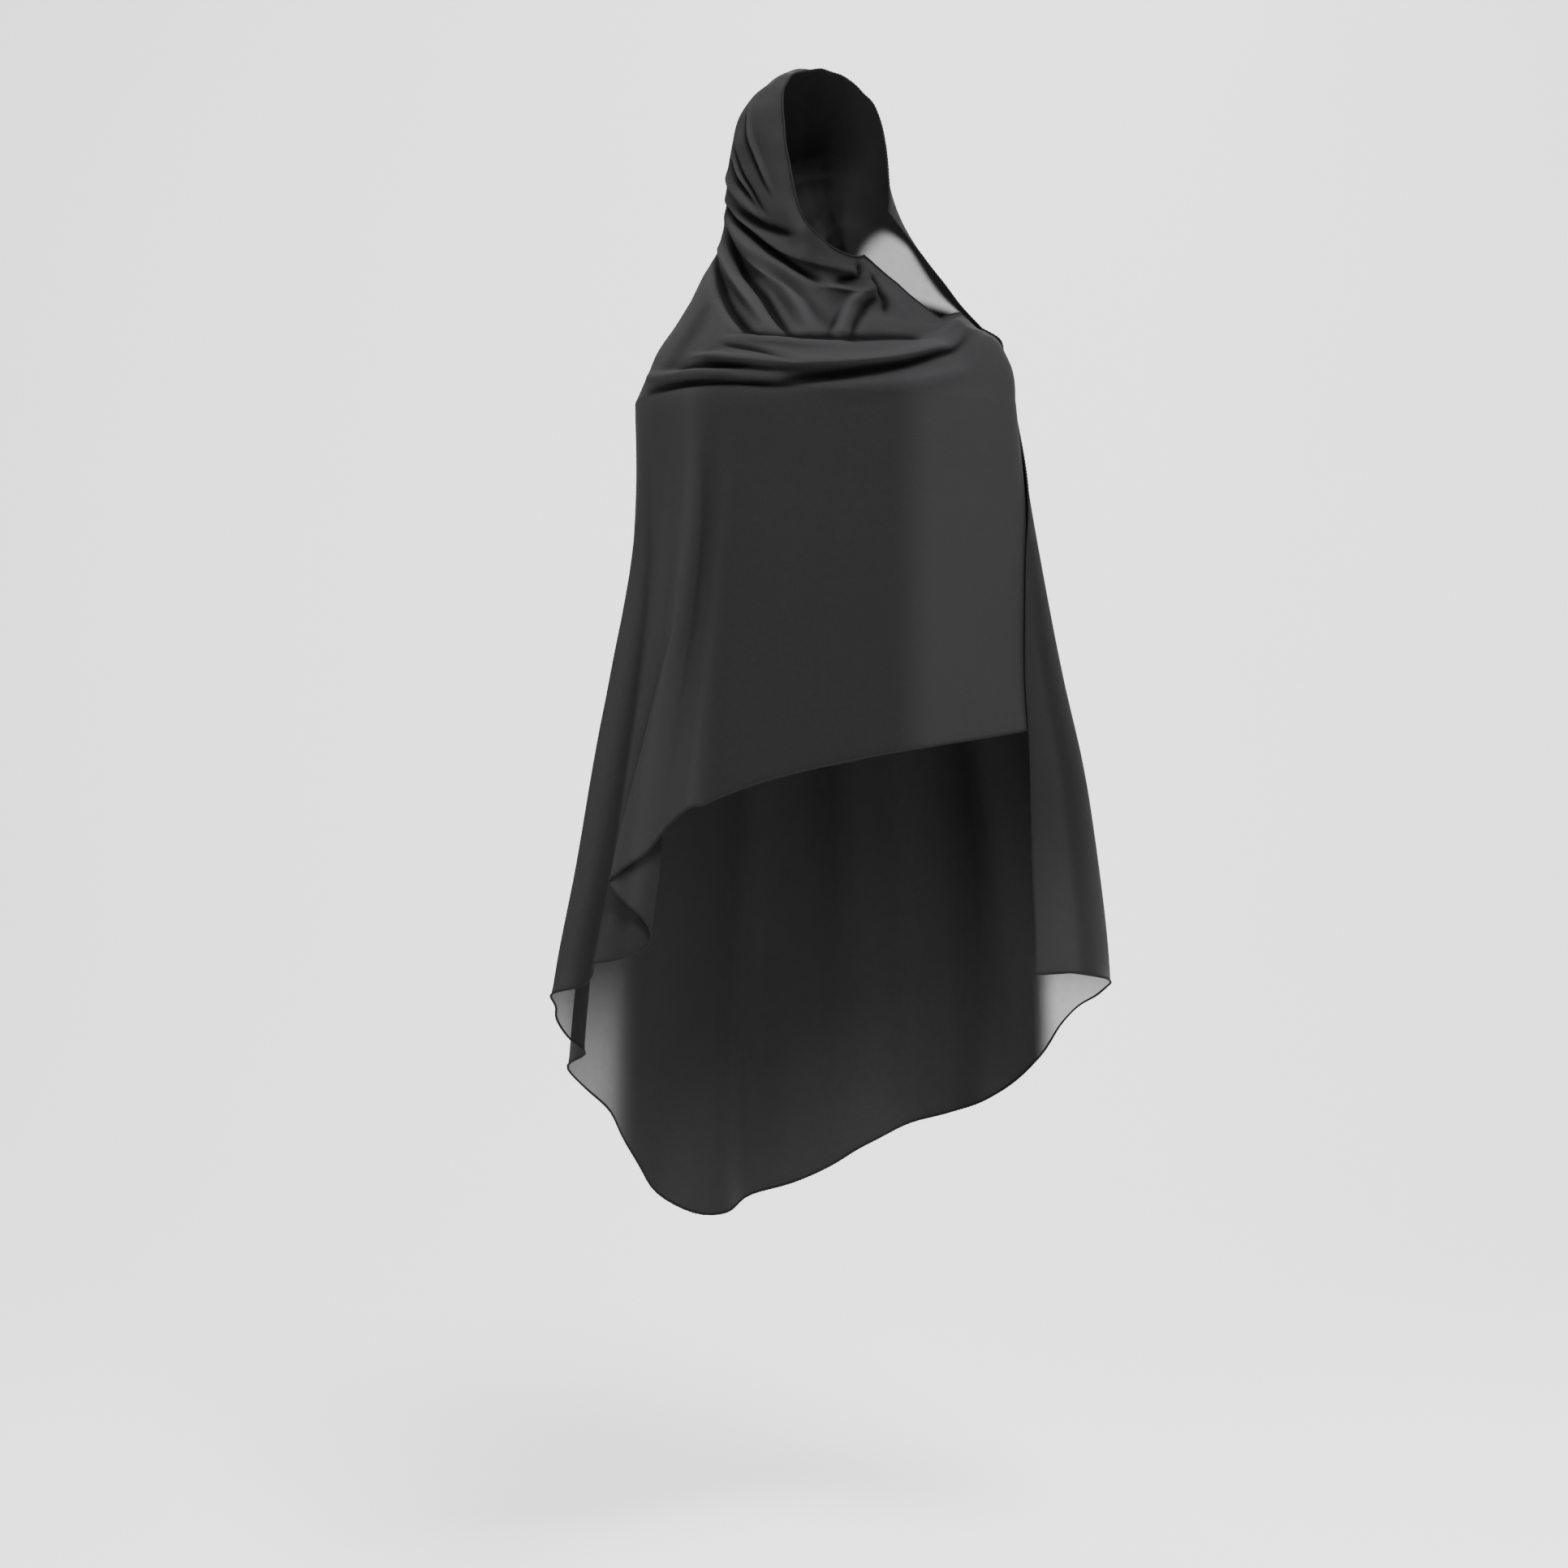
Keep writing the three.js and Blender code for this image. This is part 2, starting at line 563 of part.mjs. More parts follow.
function makeHem(name, from, to, material) {
  const rim = rimPlaces();
  const count = ((to - from + rim.length) % rim.length) + 1;
  const at = (i) => rim[(from + i + rim.length) % rim.length];
  const middle = (i) => {
    const [r, c] = at(i);
    return sheet[r][c].clone().addScaledVector(normals[r][c], -clothWall / 2);
  };
  const normalAt = (i) => normals[at(i)[0]][at(i)[1]];
  const half = rollWidth / 2;
  const points = [];
  for (let i = 0; i < count; i += 1) {
    const normal = normalAt(i);
    const centre = middle(i);
    const before = i === 0 ? centre : middle(i - 1);
    const after = i === count - 1 ? centre : middle(i + 1);
    const into = centre.clone().sub(before).normalize();
    const onward = after.clone().sub(centre).normalize();
    const tangent = into.clone().add(onward).normalize();
    const away = new THREE.Vector3().crossVectors(tangent, normal).normalize();
    const turn = i === 0 || i === count - 1 ? 1 : into.dot(onward);
    const twist = normalAt(i - 1).dot(normalAt(i + 1));
    const reach = (half + clearance) * (1 + turnRoom * (1 - turn) + twistRoom * (1 - twist));
    if (i === 0) centre.addScaledVector(tangent, clearance);
    if (i === count - 1) centre.addScaledVector(tangent, -clearance);
    centre.addScaledVector(away, reach);
    for (const [n, a] of [[1, 1], [1, -1], [-1, -1], [-1, 1]]) {
      points.push(centre.clone().addScaledVector(normal, n * half).addScaledVector(away, a * half));
    }
  }
  const triangles = [[0, 1, 2], [0, 2, 3]];
  for (let i = 0; i < count - 1; i += 1) {
    for (let k = 0; k < 4; k += 1) {
      const a = 4 * i + k;
      const b = 4 * i + ((k + 1) % 4);
      triangles.push([a, a + 4, b + 4], [a, b + 4, b]);
    }
  }
  const end = 4 * (count - 1);
  triangles.push([end, end + 2, end + 1], [end, end + 3, end + 2]);
  return meshOf(name, points, triangles, material);
}

// The hidden pin lies on the cloth's inside, just before the end of the wrap under the jaw. Its tip is
// at a share of the way round, and its head is found by stepping back from there.
const pinSpot = { ring: 0.9, tip: 0.975, step: 0.002, depth: 1.2 };

function makePin(material) {
  const { ring } = pinSpot;
  const inside = (across) => {
    const angle = mix(startAngle(ring), endAngle(ring), across);
    const depth = clothWall + pinSpot.depth + pinThickness / 2;
    return plainSurface(angle, ring).addScaledVector(outward(angle, ring), -depth);
  };
  const tip = inside(pinSpot.tip);
  let share = pinSpot.tip;
  while (inside(share).distanceTo(tip) < pinLength) share -= pinSpot.step;
  const head = inside(share);
  const geometry = new THREE.CylinderGeometry(pinThickness / 2, pinThickness / 2, pinLength, 6);
  const pin = new THREE.Mesh(geometry, material);
  pin.position.copy(tip).add(head).multiplyScalar(0.5);
  const direction = head.clone().sub(tip).normalize();
  pin.quaternion.setFromUnitVectors(new THREE.Vector3(0, 1, 0), direction);
  pin.name = "wrap_pin";
  return pin;
}

const chiffon = new THREE.MeshStandardMaterial({ color: 0x2b2b2d, roughness: 0.85, metalness: 0 });
const rolledChiffon = new THREE.MeshStandardMaterial({ color: 0x1b1b1d, roughness: 0.9, metalness: 0 });
const steel = new THREE.MeshStandardMaterial({ color: 0xb9bbc0, roughness: 0.3, metalness: 1 });

// Corners of the flat sheet, as places of the rim.
const lastRow = rows.length - 1;
const rimLength = 2 * (columnCount + lastRow);
const { start: hemStart, end: hemEnd } = sheetEnds[sheetEnds.length - 1];
const backShare = (backCornerAngle - hemStart) / (hemEnd - hemStart);
const backColumn = columns.findIndex((across) => across >= backShare);
const leftCorner = lastRow;
const backCorner = leftCorner + backColumn;
const frontCorner = leftCorner + columnCount;
const shoulderCorner = frontCorner + lastRow - lastRing * hoodRowsPerRing;

const hijab = new THREE.Group();
hijab.add(makeSheet(chiffon));
hijab.add(makeHem("upper_long_hem", shoulderCorner, leftCorner + rimLength, rolledChiffon));
hijab.add(makeHem("left_end_hem", leftCorner, backCorner, rolledChiffon));
hijab.add(makeHem("lower_long_hem", backCorner, frontCorner, rolledChiffon));
hijab.add(makeHem("right_end_hem", frontCorner, shoulderCorner, rolledChiffon));
hijab.add(makePin(steel));

export default hijab;
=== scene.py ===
# Chiffon hijab, worn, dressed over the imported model. Metres, the crown at the origin, the face along
# -Y and the wearer's left at +X, as in the model.
import bpy
import math
import numpy as np
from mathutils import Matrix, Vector


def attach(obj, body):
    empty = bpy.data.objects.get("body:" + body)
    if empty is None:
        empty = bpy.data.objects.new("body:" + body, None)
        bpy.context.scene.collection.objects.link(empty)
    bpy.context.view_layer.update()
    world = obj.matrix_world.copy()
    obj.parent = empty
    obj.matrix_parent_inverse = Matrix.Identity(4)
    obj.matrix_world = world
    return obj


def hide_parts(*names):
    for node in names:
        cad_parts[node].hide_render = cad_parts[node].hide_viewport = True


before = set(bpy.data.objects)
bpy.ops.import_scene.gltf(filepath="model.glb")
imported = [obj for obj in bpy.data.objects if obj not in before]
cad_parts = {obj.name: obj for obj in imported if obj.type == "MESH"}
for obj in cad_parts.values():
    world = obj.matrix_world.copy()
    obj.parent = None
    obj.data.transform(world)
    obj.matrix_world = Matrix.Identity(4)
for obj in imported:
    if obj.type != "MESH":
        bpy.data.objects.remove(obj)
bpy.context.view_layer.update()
scene = bpy.context.scene


# Camera: the photograph's view, from the wearer's right of the front, level with the middle of the frame
view = dict(turn=-33, distance=3.24, aim=(-0.0242, 0.0157, -0.819), lens=64.9, sensor=36)


def makeCamera(v):
    turn = math.radians(v["turn"])
    aim = Vector(v["aim"])
    back = Vector((math.sin(turn), -math.cos(turn), 0))
    data = bpy.data.cameras.new("photoCamera")
    data.lens = v["lens"]
    data.sensor_width = v["sensor"]
    camera = bpy.data.objects.new("photoCamera", data)
    camera.location = aim + back * v["distance"]
    camera.rotation_euler = (aim - camera.location).to_track_quat("-Z", "Y").to_euler()
    scene.collection.objects.link(camera)
    scene.camera = camera


makeCamera(view)
print("camera placed")

# The worn form of the sheet, before its fine folds. The sizes and tables are the model's own.
wrap = dict(
    hoodHalfWidth=0.084, hoodHalfDepth=0.100, hoodHeight=0.215,
    shoulderDrop=0.175, shoulderHalfWidth=0.250, chestHalfDepth=0.130,
    hemHalfWidth=0.372, hemHalfDepth=0.190,
    frontLength=0.812, sideLength=1.050, backLength=1.330,
    layerGap=0.007, capeStart=0.95, shoulderBlend=0.3,
    pleatOverlap=0.104, pleatDepth=0.030,
)

# leftX, leftY, leftZ, backY, backZ, rightX, rightY, rightZ, frontY, frontZ, square, from the face edge
# to the lower jaw, in shares of the hood's sizes
hoodRings = np.array([
    (0.80, -0.56, -0.42, -0.24, -0.025, -0.80, -0.52, -0.42, -0.70, -0.92, 0.13),
    (0.89, -0.32, -0.47, 0.04, 0.000, -0.91, -0.28, -0.47, -0.74, -0.98, 0.11),
    (0.92, -0.06, -0.54, 0.40, -0.025, -0.98, -0.02, -0.54, -0.77, -1.05, 0.08),
    (0.88, 0.10, -0.63, 0.70, -0.140, -1.00, 0.14, -0.63, -0.79, -1.115, 0.05),
    (0.84, 0.18, -0.74, 0.88, -0.320, -0.99, 0.22, -0.75, -0.81, -1.18, 0.02),
    (0.84, 0.18, -0.87, 0.92, -0.530, -1.00, 0.22, -0.88, -0.83, -1.24, 0.02),
    (0.92, 0.12, -1.01, 0.92, -0.760, -1.08, 0.18, -1.02, -0.87, -1.31, 0.03),
])

# The same columns from the neck to the shoulders, x between the hood's and the shoulders' half width
shoulderRings = np.array([
    (0.08, 0.00, -0.14, 0.73, 0.01, -0.16, 0.05, -0.16, -0.75, -0.46, 0.04),
    (0.30, -0.08, -0.29, 0.77, -0.25, -0.33, -0.06, -0.36, -0.82, -0.57, 0.05),
    (0.56, -0.18, -0.45, 0.83, -0.52, -0.53, -0.16, -0.58, -0.92, -0.68, 0.06),
    (0.74, -0.29, -0.68, 0.90, -0.80, -0.76, -0.26, -0.80, -1.02, -0.80, 0.07),
    (0.82, -0.36, -0.97, 0.94, -1.05, -0.93, -0.36, -1.03, -1.10, -0.97, 0.08),
])

# left, right, side, front, back, square of the cape's sections, evenly spaced down to the back's hem
capeSections = np.array([
    (-0.22, -0.14, -0.25, 0.10, -0.14, 0.08),
    (-0.06, -0.13, -0.26, 0.22, -0.10, 0.08),
    (0.13, -0.04, -0.27, 0.30, -0.04, 0.08),
    (0.36, 0.12, -0.28, 0.38, 0.04, 0.07),
    (0.60, 0.30, -0.29, 0.48, 0.14, 0.07),
    (0.77, 0.48, -0.30, 0.60, 0.24, 0.06),
    (0.90, 0.68, -0.30, 0.76, 0.34, 0.05),
    (0.98, 0.80, -0.28, 0.88, 0.42, 0.04),
    (1.00, 0.82, -0.26, 0.94, 0.50, 0.04),
    (1.00, 0.82, -0.24, 1.00, 0.56, 0.04),
])

# angle, which length it follows (0 front, 1 side, 2 back) and the share of it, round the hem
hemHeights = np.array([
    (-52, 1, 0.985), (-20, 1, 1.004), (4, 1, 1.03), (14, 1, 1.056), (22, 1, 1.096), (32, 2, 0.898),
    (45, 2, 0.918), (62, 2, 0.948), (80, 2, 0.985), (96, 2, 1.0), (106, 2, 0.975), (120, 2, 0.905),
    (130, 2, 0.872), (138, 2, 0.85), (150, 1, 1.045), (159, 1, 1.018), (168, 1, 0.998),
    (180, 1, 0.976), (193, 1, 0.942), (203, 1, 0.9), (214, 1, 0.858), (218, 0, 1.05),
    (226, 0, 1.035), (242, 0, 1.007), (256, 0, 0.986), (275, 0, 0.961), (300, 0, 0.936), (330, 0, 0.915),
    (372, 0, 0.9),
])

# ring, and where the sheet starts and ends round it in degrees
sheetEnds = np.array([
    (0, -38, 300), (2, -36, 312), (4, -33, 322), (7, -29, 336), (9, -26, 350), (11, -24, 364),
    (11.3, -48.5, 368), (11.6, -58, 371), (12, -62.5, 372),
])
bandFoot = dict(ring=8, x=0.8, y=-0.45, z=-0.43, free=10.6, spread=44)
tuckFoot = dict(ring=8, x=0.75, y=-0.37, z=-0.49, free=10.0, spread=75)
pinPlace = dict(x=0.33, y=-0.7, z=-1.03)
# The two layers at the left stand apart: where the outer one's share ends and the inner one's starts, in
# degrees, and the ring where both start, each with its run
layersApart = dict(outer=(20, 60), inner=(285, 40), ring=(6, 3))
backCornerAngle = 96

lastRing = len(hoodRings) + len(shoulderRings) - 1
capeTop = -wrap["hoodHeight"] - wrap["shoulderDrop"] * wrap["capeStart"]


def mix(a, b, share):
    return a + (b - a) * share


def smooth(x):
    x = np.clip(x, 0, 1)
    return x * x * (3 - 2 * x)


# A smooth step from 0 to 1: where it starts and its run
def rise(x, step):
    start, run = step
    return smooth((x - start) / run)


# 1 between two smooth steps, and 0 outside them
def between(x, first, last):
    return rise(x, first) * (1 - rise(x, last))


def hermite(t, a, b, slopeA, slopeB):
    t2 = t * t
    t3 = t2 * t
    fromA = (2 * t3 - 3 * t2 + 1) * a + (t3 - 2 * t2 + t) * slopeA
    return fromA + (3 * t2 - 2 * t3) * b + (t3 - t2) * slopeB


# A column of a table read at any key, with a smooth curve between the rows
def curveThrough(keys, values, at):
    keys = np.asarray(keys, float)
    values = np.asarray(values, float)
    i = np.searchsorted(keys[1:-1], at, side="left")
    slope = np.gradient(values, keys, edge_order=1)
    slope[1:-1] = (values[2:] - values[:-2]) / (keys[2:] - keys[:-2])
    step = keys[i + 1] - keys[i]
    t = np.clip((at - keys[i]) / step, 0, 1)
    return hermite(t, values[i], values[i + 1], slope[i] * step, slope[i + 1] * step)


def ringPoints(side):
    columns = {"left": (0, 1, 2), "back": (None, 3, 4), "right": (5, 6, 7), "front": (None, 8, 9)}
    xAt, yAt, zAt = columns[side]
    points = []
    for row in hoodRings:
        x = 0 if xAt is None else row[xAt] * wrap["hoodHalfWidth"]
        points.append((x, row[yAt] * wrap["hoodHalfDepth"], row[zAt] * wrap["hoodHeight"]))
    for row in shoulderRings:
        share = 0 if xAt is None else row[xAt]
        reach = mix(wrap["hoodHalfWidth"], wrap["shoulderHalfWidth"], abs(share))
        z = -wrap["hoodHeight"] + row[zAt] * wrap["shoulderDrop"]
        points.append((np.sign(share) * reach, row[yAt] * wrap["chestHalfDepth"], z))
    return np.array(points)


meridians = {side: ringPoints(side) for side in ("left", "back", "right", "front")}
ringSquares = np.concatenate([hoodRings[:, 10], shoulderRings[:, 10]])


def meridian(side, ring):
    points = meridians[side]
    padded = np.vstack([2 * points[0] - points[1], points, 2 * points[-1] - points[-2]])
    ring = np.clip(ring, 0, lastRing)
    i = np.minimum(np.floor(ring).astype(int), lastRing - 1)
    t = (ring - i)[..., None]
    p0, p1, p2, p3 = (padded[i + k] for k in range(4))
    return hermite(t, p1, p2, 0.5 * (p2 - p0), 0.5 * (p3 - p1))


# A smooth loop through four corners, a quarter turn apart, squarer towards the front
def loopPoint(left, back, right, front, frontSquare, angle):
    square = frontSquare * (0.5 - 0.5 * np.sin(angle))
    c = ((1 + square) * np.cos(angle) - square * np.cos(3 * angle))[..., None]
    s = ((1 + square) * np.sin(angle) + square * np.sin(3 * angle))[..., None]
    twice = np.cos(2 * angle)[..., None]
    return (
        left * (0.25 + c / 2 + twice / 4) + right * (0.25 - c / 2 + twice / 4)
        + back * (0.25 + s / 2 - twice / 4) + front * (0.25 - s / 2 - twice / 4)
    )


def hoodSurface(angle, ring):
    low = np.clip(np.floor(ring).astype(int), 0, lastRing - 1)
    square = mix(ringSquares[low], ringSquares[low + 1], ring - low)
    sides = [meridian(side, ring) for side in ("left", "back", "right", "front")]
    return loopPoint(*sides, square, angle)


def capeSurface(angle, z):
    heights = np.linspace(-capeTop, wrap["backLength"], len(capeSections))
    left, right, side, front, back, square = (
        curveThrough(heights, capeSections[:, column], -z) for column in range(6)
    )
    side = side * wrap["hemHalfDepth"]
    zero = np.zeros_like(z)
    corners = [
        np.stack([mix(wrap["shoulderHalfWidth"], wrap["hemHalfWidth"], left), side, z], -1),
        np.stack([zero, mix(wrap["chestHalfDepth"], wrap["hemHalfDepth"], back), z], -1),
        np.stack([-mix(wrap["shoulderHalfWidth"], wrap["hemHalfWidth"], right), side, z], -1),
        np.stack([zero, -mix(wrap["chestHalfDepth"], wrap["hemHalfDepth"], front), z], -1),
    ]
    return loopPoint(*corners, square, angle)


def hemHeight(angle):
    lengths = np.array([wrap["frontLength"], wrap["sideLength"], wrap["backLength"]])
    heights = -lengths[hemHeights[:, 1].astype(int)] * hemHeights[:, 2]
    return curveThrough(hemHeights[:, 0], heights, np.degrees(angle))


def topHeight(angle):
    return hoodSurface(angle, np.full_like(angle, lastRing))[..., 2]


def roundSurface(angle, ring):
    angle, ring = np.broadcast_arrays(np.asarray(angle, float), np.asarray(ring, float))
    hood = hoodSurface(angle, np.minimum(ring, lastRing))
    down = np.maximum(ring - lastRing, 0)
    topZ = hood[..., 2]
    step = hood - capeSurface(angle, topZ)
    fade = (1 - smooth(down / wrap["shoulderBlend"]))[..., None]
    cape = capeSurface(angle, mix(topZ, hemHeight(angle), down)) + step * fade
    return np.where((ring > lastRing)[..., None], cape, hood)


def startAngle(ring):
    return np.radians(curveThrough(sheetEnds[:, 0], sheetEnds[:, 1], ring))


def endAngle(ring):
    return np.radians(curveThrough(sheetEnds[:, 0], sheetEnds[:, 2], ring))


def footPoint(foot):
    return np.array([
        foot["x"] * wrap["shoulderHalfWidth"],
        foot["y"] * wrap["chestHalfDepth"],
        -wrap["hoodHeight"] + foot["z"] * wrap["shoulderDrop"],
    ])


bandTop = roundSurface(startAngle(np.array(0.0)), np.array(0.0))
pinPoint = np.array([
    pinPlace["x"] * wrap["hoodHalfWidth"],
    pinPlace["y"] * wrap["hoodHalfDepth"],
    pinPlace["z"] * wrap["hoodHeight"],
])


# How far a free edge is drawn onto its straight line down to the shoulder, and let go below it
def edgePull(top, foot, edgeAngle, ring):
    held = np.minimum(ring, foot["ring"])
    line = mix(top, footPoint(foot), (held / foot["ring"])[..., None])
    pull = line - roundSurface(edgeAngle(held), held)
    return pull * (1 - smooth((ring - foot["ring"]) / (foot["free"] - foot["ring"])))[..., None]


def plainSurface(angle, ring):
    point = roundSurface(angle, ring)
    fromStart = np.degrees(angle - startAngle(ring))
    fromEnd = np.degrees(endAngle(ring) - angle)
    bandShare = (1 - smooth(fromStart / bandFoot["spread"]))[..., None]
    tuckShare = (1 - smooth(fromEnd / tuckFoot["spread"]))[..., None]
    point = point + edgePull(bandTop, bandFoot, startAngle, ring) * bandShare
    point = point + edgePull(pinPoint, tuckFoot, endAngle, ring) * tuckShare
    outer = 1 - rise(np.degrees(angle), layersApart["outer"])
    inner = rise(np.degrees(angle), layersApart["inner"])
    apart = wrap["layerGap"] / 2 * (outer - inner) * rise(ring, layersApart["ring"])
    reach = np.hypot(point[..., 0], point[..., 1])
    lift = apart * (1 - smooth(ring - lastRing))
    shift = np.stack([point[..., 0] / reach * apart, point[..., 1] / reach * apart, lift], -1)
    return point + shift


def unit(v, least=1e-9):
    return v / np.maximum(np.linalg.norm(v, axis=-1, keepdims=True), least)


def outward(angle, ring, e=0.01):
    along = plainSurface(angle + e, ring) - plainSurface(angle - e, ring)
    down = plainSurface(angle, ring + e) - plainSurface(angle, np.maximum(0, ring - e))
    return unit(np.cross(down, along))


# Folds that hang from the shoulders: angle, span, depth, overlap and start down the cape
drapeFolds = np.array([
    (202, 16, 1, 1, 0.2),
    (143, 8, -0.7, 0, 0.4),
    (128, 9, 0.6, 0, 0.3),
    (105, 10, 0.6, 0, 0.15),
    (82, 10, 0.65, 0, 0.2),
    (56, 11, 0.6, 0, 0.2),
    (27, 8, 0.5, 0, 0.45),
])

# Rolls, creases and tucks of the hood, neck and chest. Each runs from one place through another to a
# third, each place an angle and a ring. Then, in millimetres: its depth, its widths above and below the
# line, and its sag, which slides its crest down the cloth. A negative depth is a crease.
rolls = dict(
    hoodFirst=((146, 1.64), (176, 1.62), (204, 1.40), 3.5, 4, 3, 1.0),
    hoodFirstCrease=((150, 1.82), (176, 1.80), (203, 1.50), -4.0, 3.2, 3.2, 0.0),
    hoodSecondCrease=((156, 2.95), (186, 2.68), (208, 2.42), -4.5, 3.2, 3.2, 0.0),
    hoodSecond=((154, 3.15), (185, 2.85), (207, 2.52), 4.0, 3, 3, 0.0),
    hoodBetweenCrease=((154, 3.42), (184, 3.02), (205, 2.62), -5.0, 3.4, 3.4, 0.0),
    hoodBetween=((140, 4.3), (182, 3.5), (214, 2.6), 4.0, 7, 4, 2.0),
    hoodThirdCrease=((178, 4.0), (204, 3.25), (228, 1.75), -6.5, 4, 4, 0.0),
    hoodThird=((150, 4.8), (200, 3.78), (240, 2.9), 6.0, 8, 5, 4.0),
    neckLongCrease=((160, 4.75), (212, 4.32), (249, 4.75), -9.0, 4.5, 4.5, 0.0),
    neckLong=((150, 5.3), (204, 4.9), (246, 5.5), 7.0, 8, 9, 1.0),
    neckUnderChin=((212, 3.5), (258, 2.7), (297, 1.1), 4.0, 8, 5, 2.0),
    chinCrease=((289, 0.5), (272, 2.5), (257, 4.15), -7.0, 4, 4, 0.0),
    neckMiddle=((240, 4.9), (262, 4.55), (284, 2.8), 4.0, 5, 4, 2.0),
    middleFall=((174, 4.9), (218, 6.3), (248, 8.2), 10.0, 12, 7, 4.0),
    middleCrease=((168, 5.3), (209, 6.95), (243, 8.75), -9.0, 5, 5, 0.0),
    sideFall=((150, 5.6), (194, 7.1), (229, 8.5), 9.0, 9, 6, 5.0),
    sideCrease=((152, 6.3), (196, 7.95), (227, 8.95), -9.0, 6, 6, 0.0),
    pinRidge=((288, 1.6), (268, 5.2), (258, 8.5), 8.0, 6, 6, 0.0),
    pinLeft=((268, 4.6), (261, 6.6), (254, 8.5), -4.0, 4, 4, 0.0),
    pinRight=((279, 4.2), (270, 6.9), (263, 8.7), -4.0, 3.6, 3.6, 0.0),
    pinCrease=((289, 1.5), (286, 3.2), (283, 5.8), -8.0, 5, 5, 0.0),
    tuckHump=((318, 7.2), (306, 7.6), (290, 8.2), 5.0, 8, 6, 2.0),
    chestCrease=((207, 8.85), (258, 8.42), (326, 7.4), -5.0, 5, 5, 0.0),
    chestTop=((205, 9.15), (228, 9.0), (266, 8.75), 4.0, 4, 4, 0.0),
    chestUnder=((208, 9.35), (226, 9.6), (246, 9.9), -4.0, 5, 5, 0.0),
    chestRoll=((204, 10.0), (256, 9.72), (326, 7.85), 11.0, 18, 9, 11.0),
    chestDeep=((226, 10.6), (258, 10.5), (322, 8.05), -7.0, 6, 7, 0.0),
    armHigh=((196, 9.95), (216, 10.05), (240, 10.2), 4.0, 6, 5, 3.0),
    armCrease=((192, 10.4), (212, 10.36), (228, 10.33), -5.0, 4, 4, 0.0),
    armRoll=((168, 10.45), (210, 10.62), (248, 10.75), 7.0, 7, 6, 4.0),
    armDeep=((174, 10.95), (212, 10.9), (252, 11.0), -8.0, 6, 6, 0.0),
    chestLower=((236, 10.8), (262, 10.8), (304, 9.85), 3.0, 6, 8, 1.0),
    armFall=((163, 6.7), (171, 8.8), (178, 10.9), 7.0, 18, 14, 2.0),
    backFallRight=((140, 6.6), (142, 9.0), (144, 11.0), 6.0, 22, 18, 0.0),
    backNeck=((60, 6.2), (98, 7.1), (140, 6.6), 6.0, 12, 9, 4.0),
    backNeckLow=((56, 7.6), (92, 8.5), (132, 8.2), 5.0, 14, 10, 3.0),
    bandFirst=((-18, 3.2), (22, 5.0), (72, 7.2), 6.0, 12, 9, 2.0),
    bandSecond=((-20, 4.8), (12, 6.6), (54, 8.8), 6.0, 13, 10, 2.0),
    bandHigh=((0, 2.2), (40, 3.9), (98, 5.4), 5.0, 13, 9, 2.0),
    bandLow=((-14, 7.4), (10, 8.6), (36, 10.6), 4.0, 14, 11, 1.0),
)

# Ring, and how far the panel is filled out and lifted there on the left shoulder, in metres
shoulderFill = np.array([
    (0, 0, 0), (5.8, 0, 0), (6.4, 0, 0.009), (7, 0, 0.018), (8, 0.001, 0.020), (8.5, 0.004, 0.018),
    (9, 0.012, 0.011), (9.5, 0.021, 0.005),
    (10.1, 0.021, 0), (10.6, 0.015, 0), (11, 0.008, 0), (11.2, 0.005, 0), (11.5, 0, 0), (12, 0, 0),
])
# Each pair in this and the other tables of places is where a smooth step starts and its run
fillPlace = dict(
    fillFrom=(300, 22), fillTo=(332, 9), liftFrom=(300, 20), liftTo=(327, 9), liftRing=(8, 0.8),
    liftWay=(0, -0.7, 1),
)

# Waves of the hood, of the cape's long flutes and of the front panel: turns round and down, phase, and
# size in millimetres
hoodWaves = [(1.0, 1.7, 0.4, 0.9), (1.9, -1.2, 2.1, 0.6), (3.1, 2.3, 4.0, 0.35)]
fluteWaves = [(13, 0.8, 1.0, 8.0), (21, -1.1, 3.2, 4.6), (34, 1.6, 0.3, 1.6)]
panelWaves = [(7, 0.9, 0.7, 1.4), (16, 2.2, 2.0, 0.6)]
wavePlace = dict(
    panel=(214, 18), hoodFoot=(9, 4), hoodTurns=(6, 1.3), hoodShare=0.9, fluteGrowth=1.6, fluteStart=0.05,
)
# Folds are calmer where the two layers at the left lie over each other, so that they stay apart
calmPlace = dict(outer=(18, 22), inner=(294, 30), folds=0.85, sag=0.6)

# Where a single layer is see-through, and how much. Angles in degrees, rings, and metres below the crown.
sheerPlace = dict(
    lobe=((138, 18), (188, 12)), beside=((112, 16), (136, 7)), low=(0.98, 0.2),
    corner=((-44, 20), (14, 10)), cornerLow=(0.99, 0.1),
    bandFrom=(-21, 5), bandTo=(-17, 7), bandSlant=7, bandRings=((3.3, 0.9), (7.0, 0.9)),
    lobeShare=0.2, besideShare=0.1, cornerShare=0.26, bandShare=0.24, most=0.8,
)
# Where the cloth is darker: across the middle of the front panel as the camera sees it, on the doubled
# layer at the left, and under the chin, where it is painted shadow. Angles in degrees, counted down from
# zero in doubledTo; rings; metres across the camera's view; and metres from the crown, up in each Foot and
# down in each Top.
darkPlace = dict(
    panelFoot=(-1.15, 0.3), panelTop=(0.34, 0.06), panelSeen=((-0.145, 0.05), (0.09, 0.05)),
    panelFrom=(200, 12), doubledTo=(8, 14), doubledFoot=(-1.02, 0.2), doubledTop=(0.45, 0.1),
    chin=((232, 14), (288, 10)), chinFoot=(3.4, 1.4), doubledShare=1.05, chinShadowShare=0.9,
)

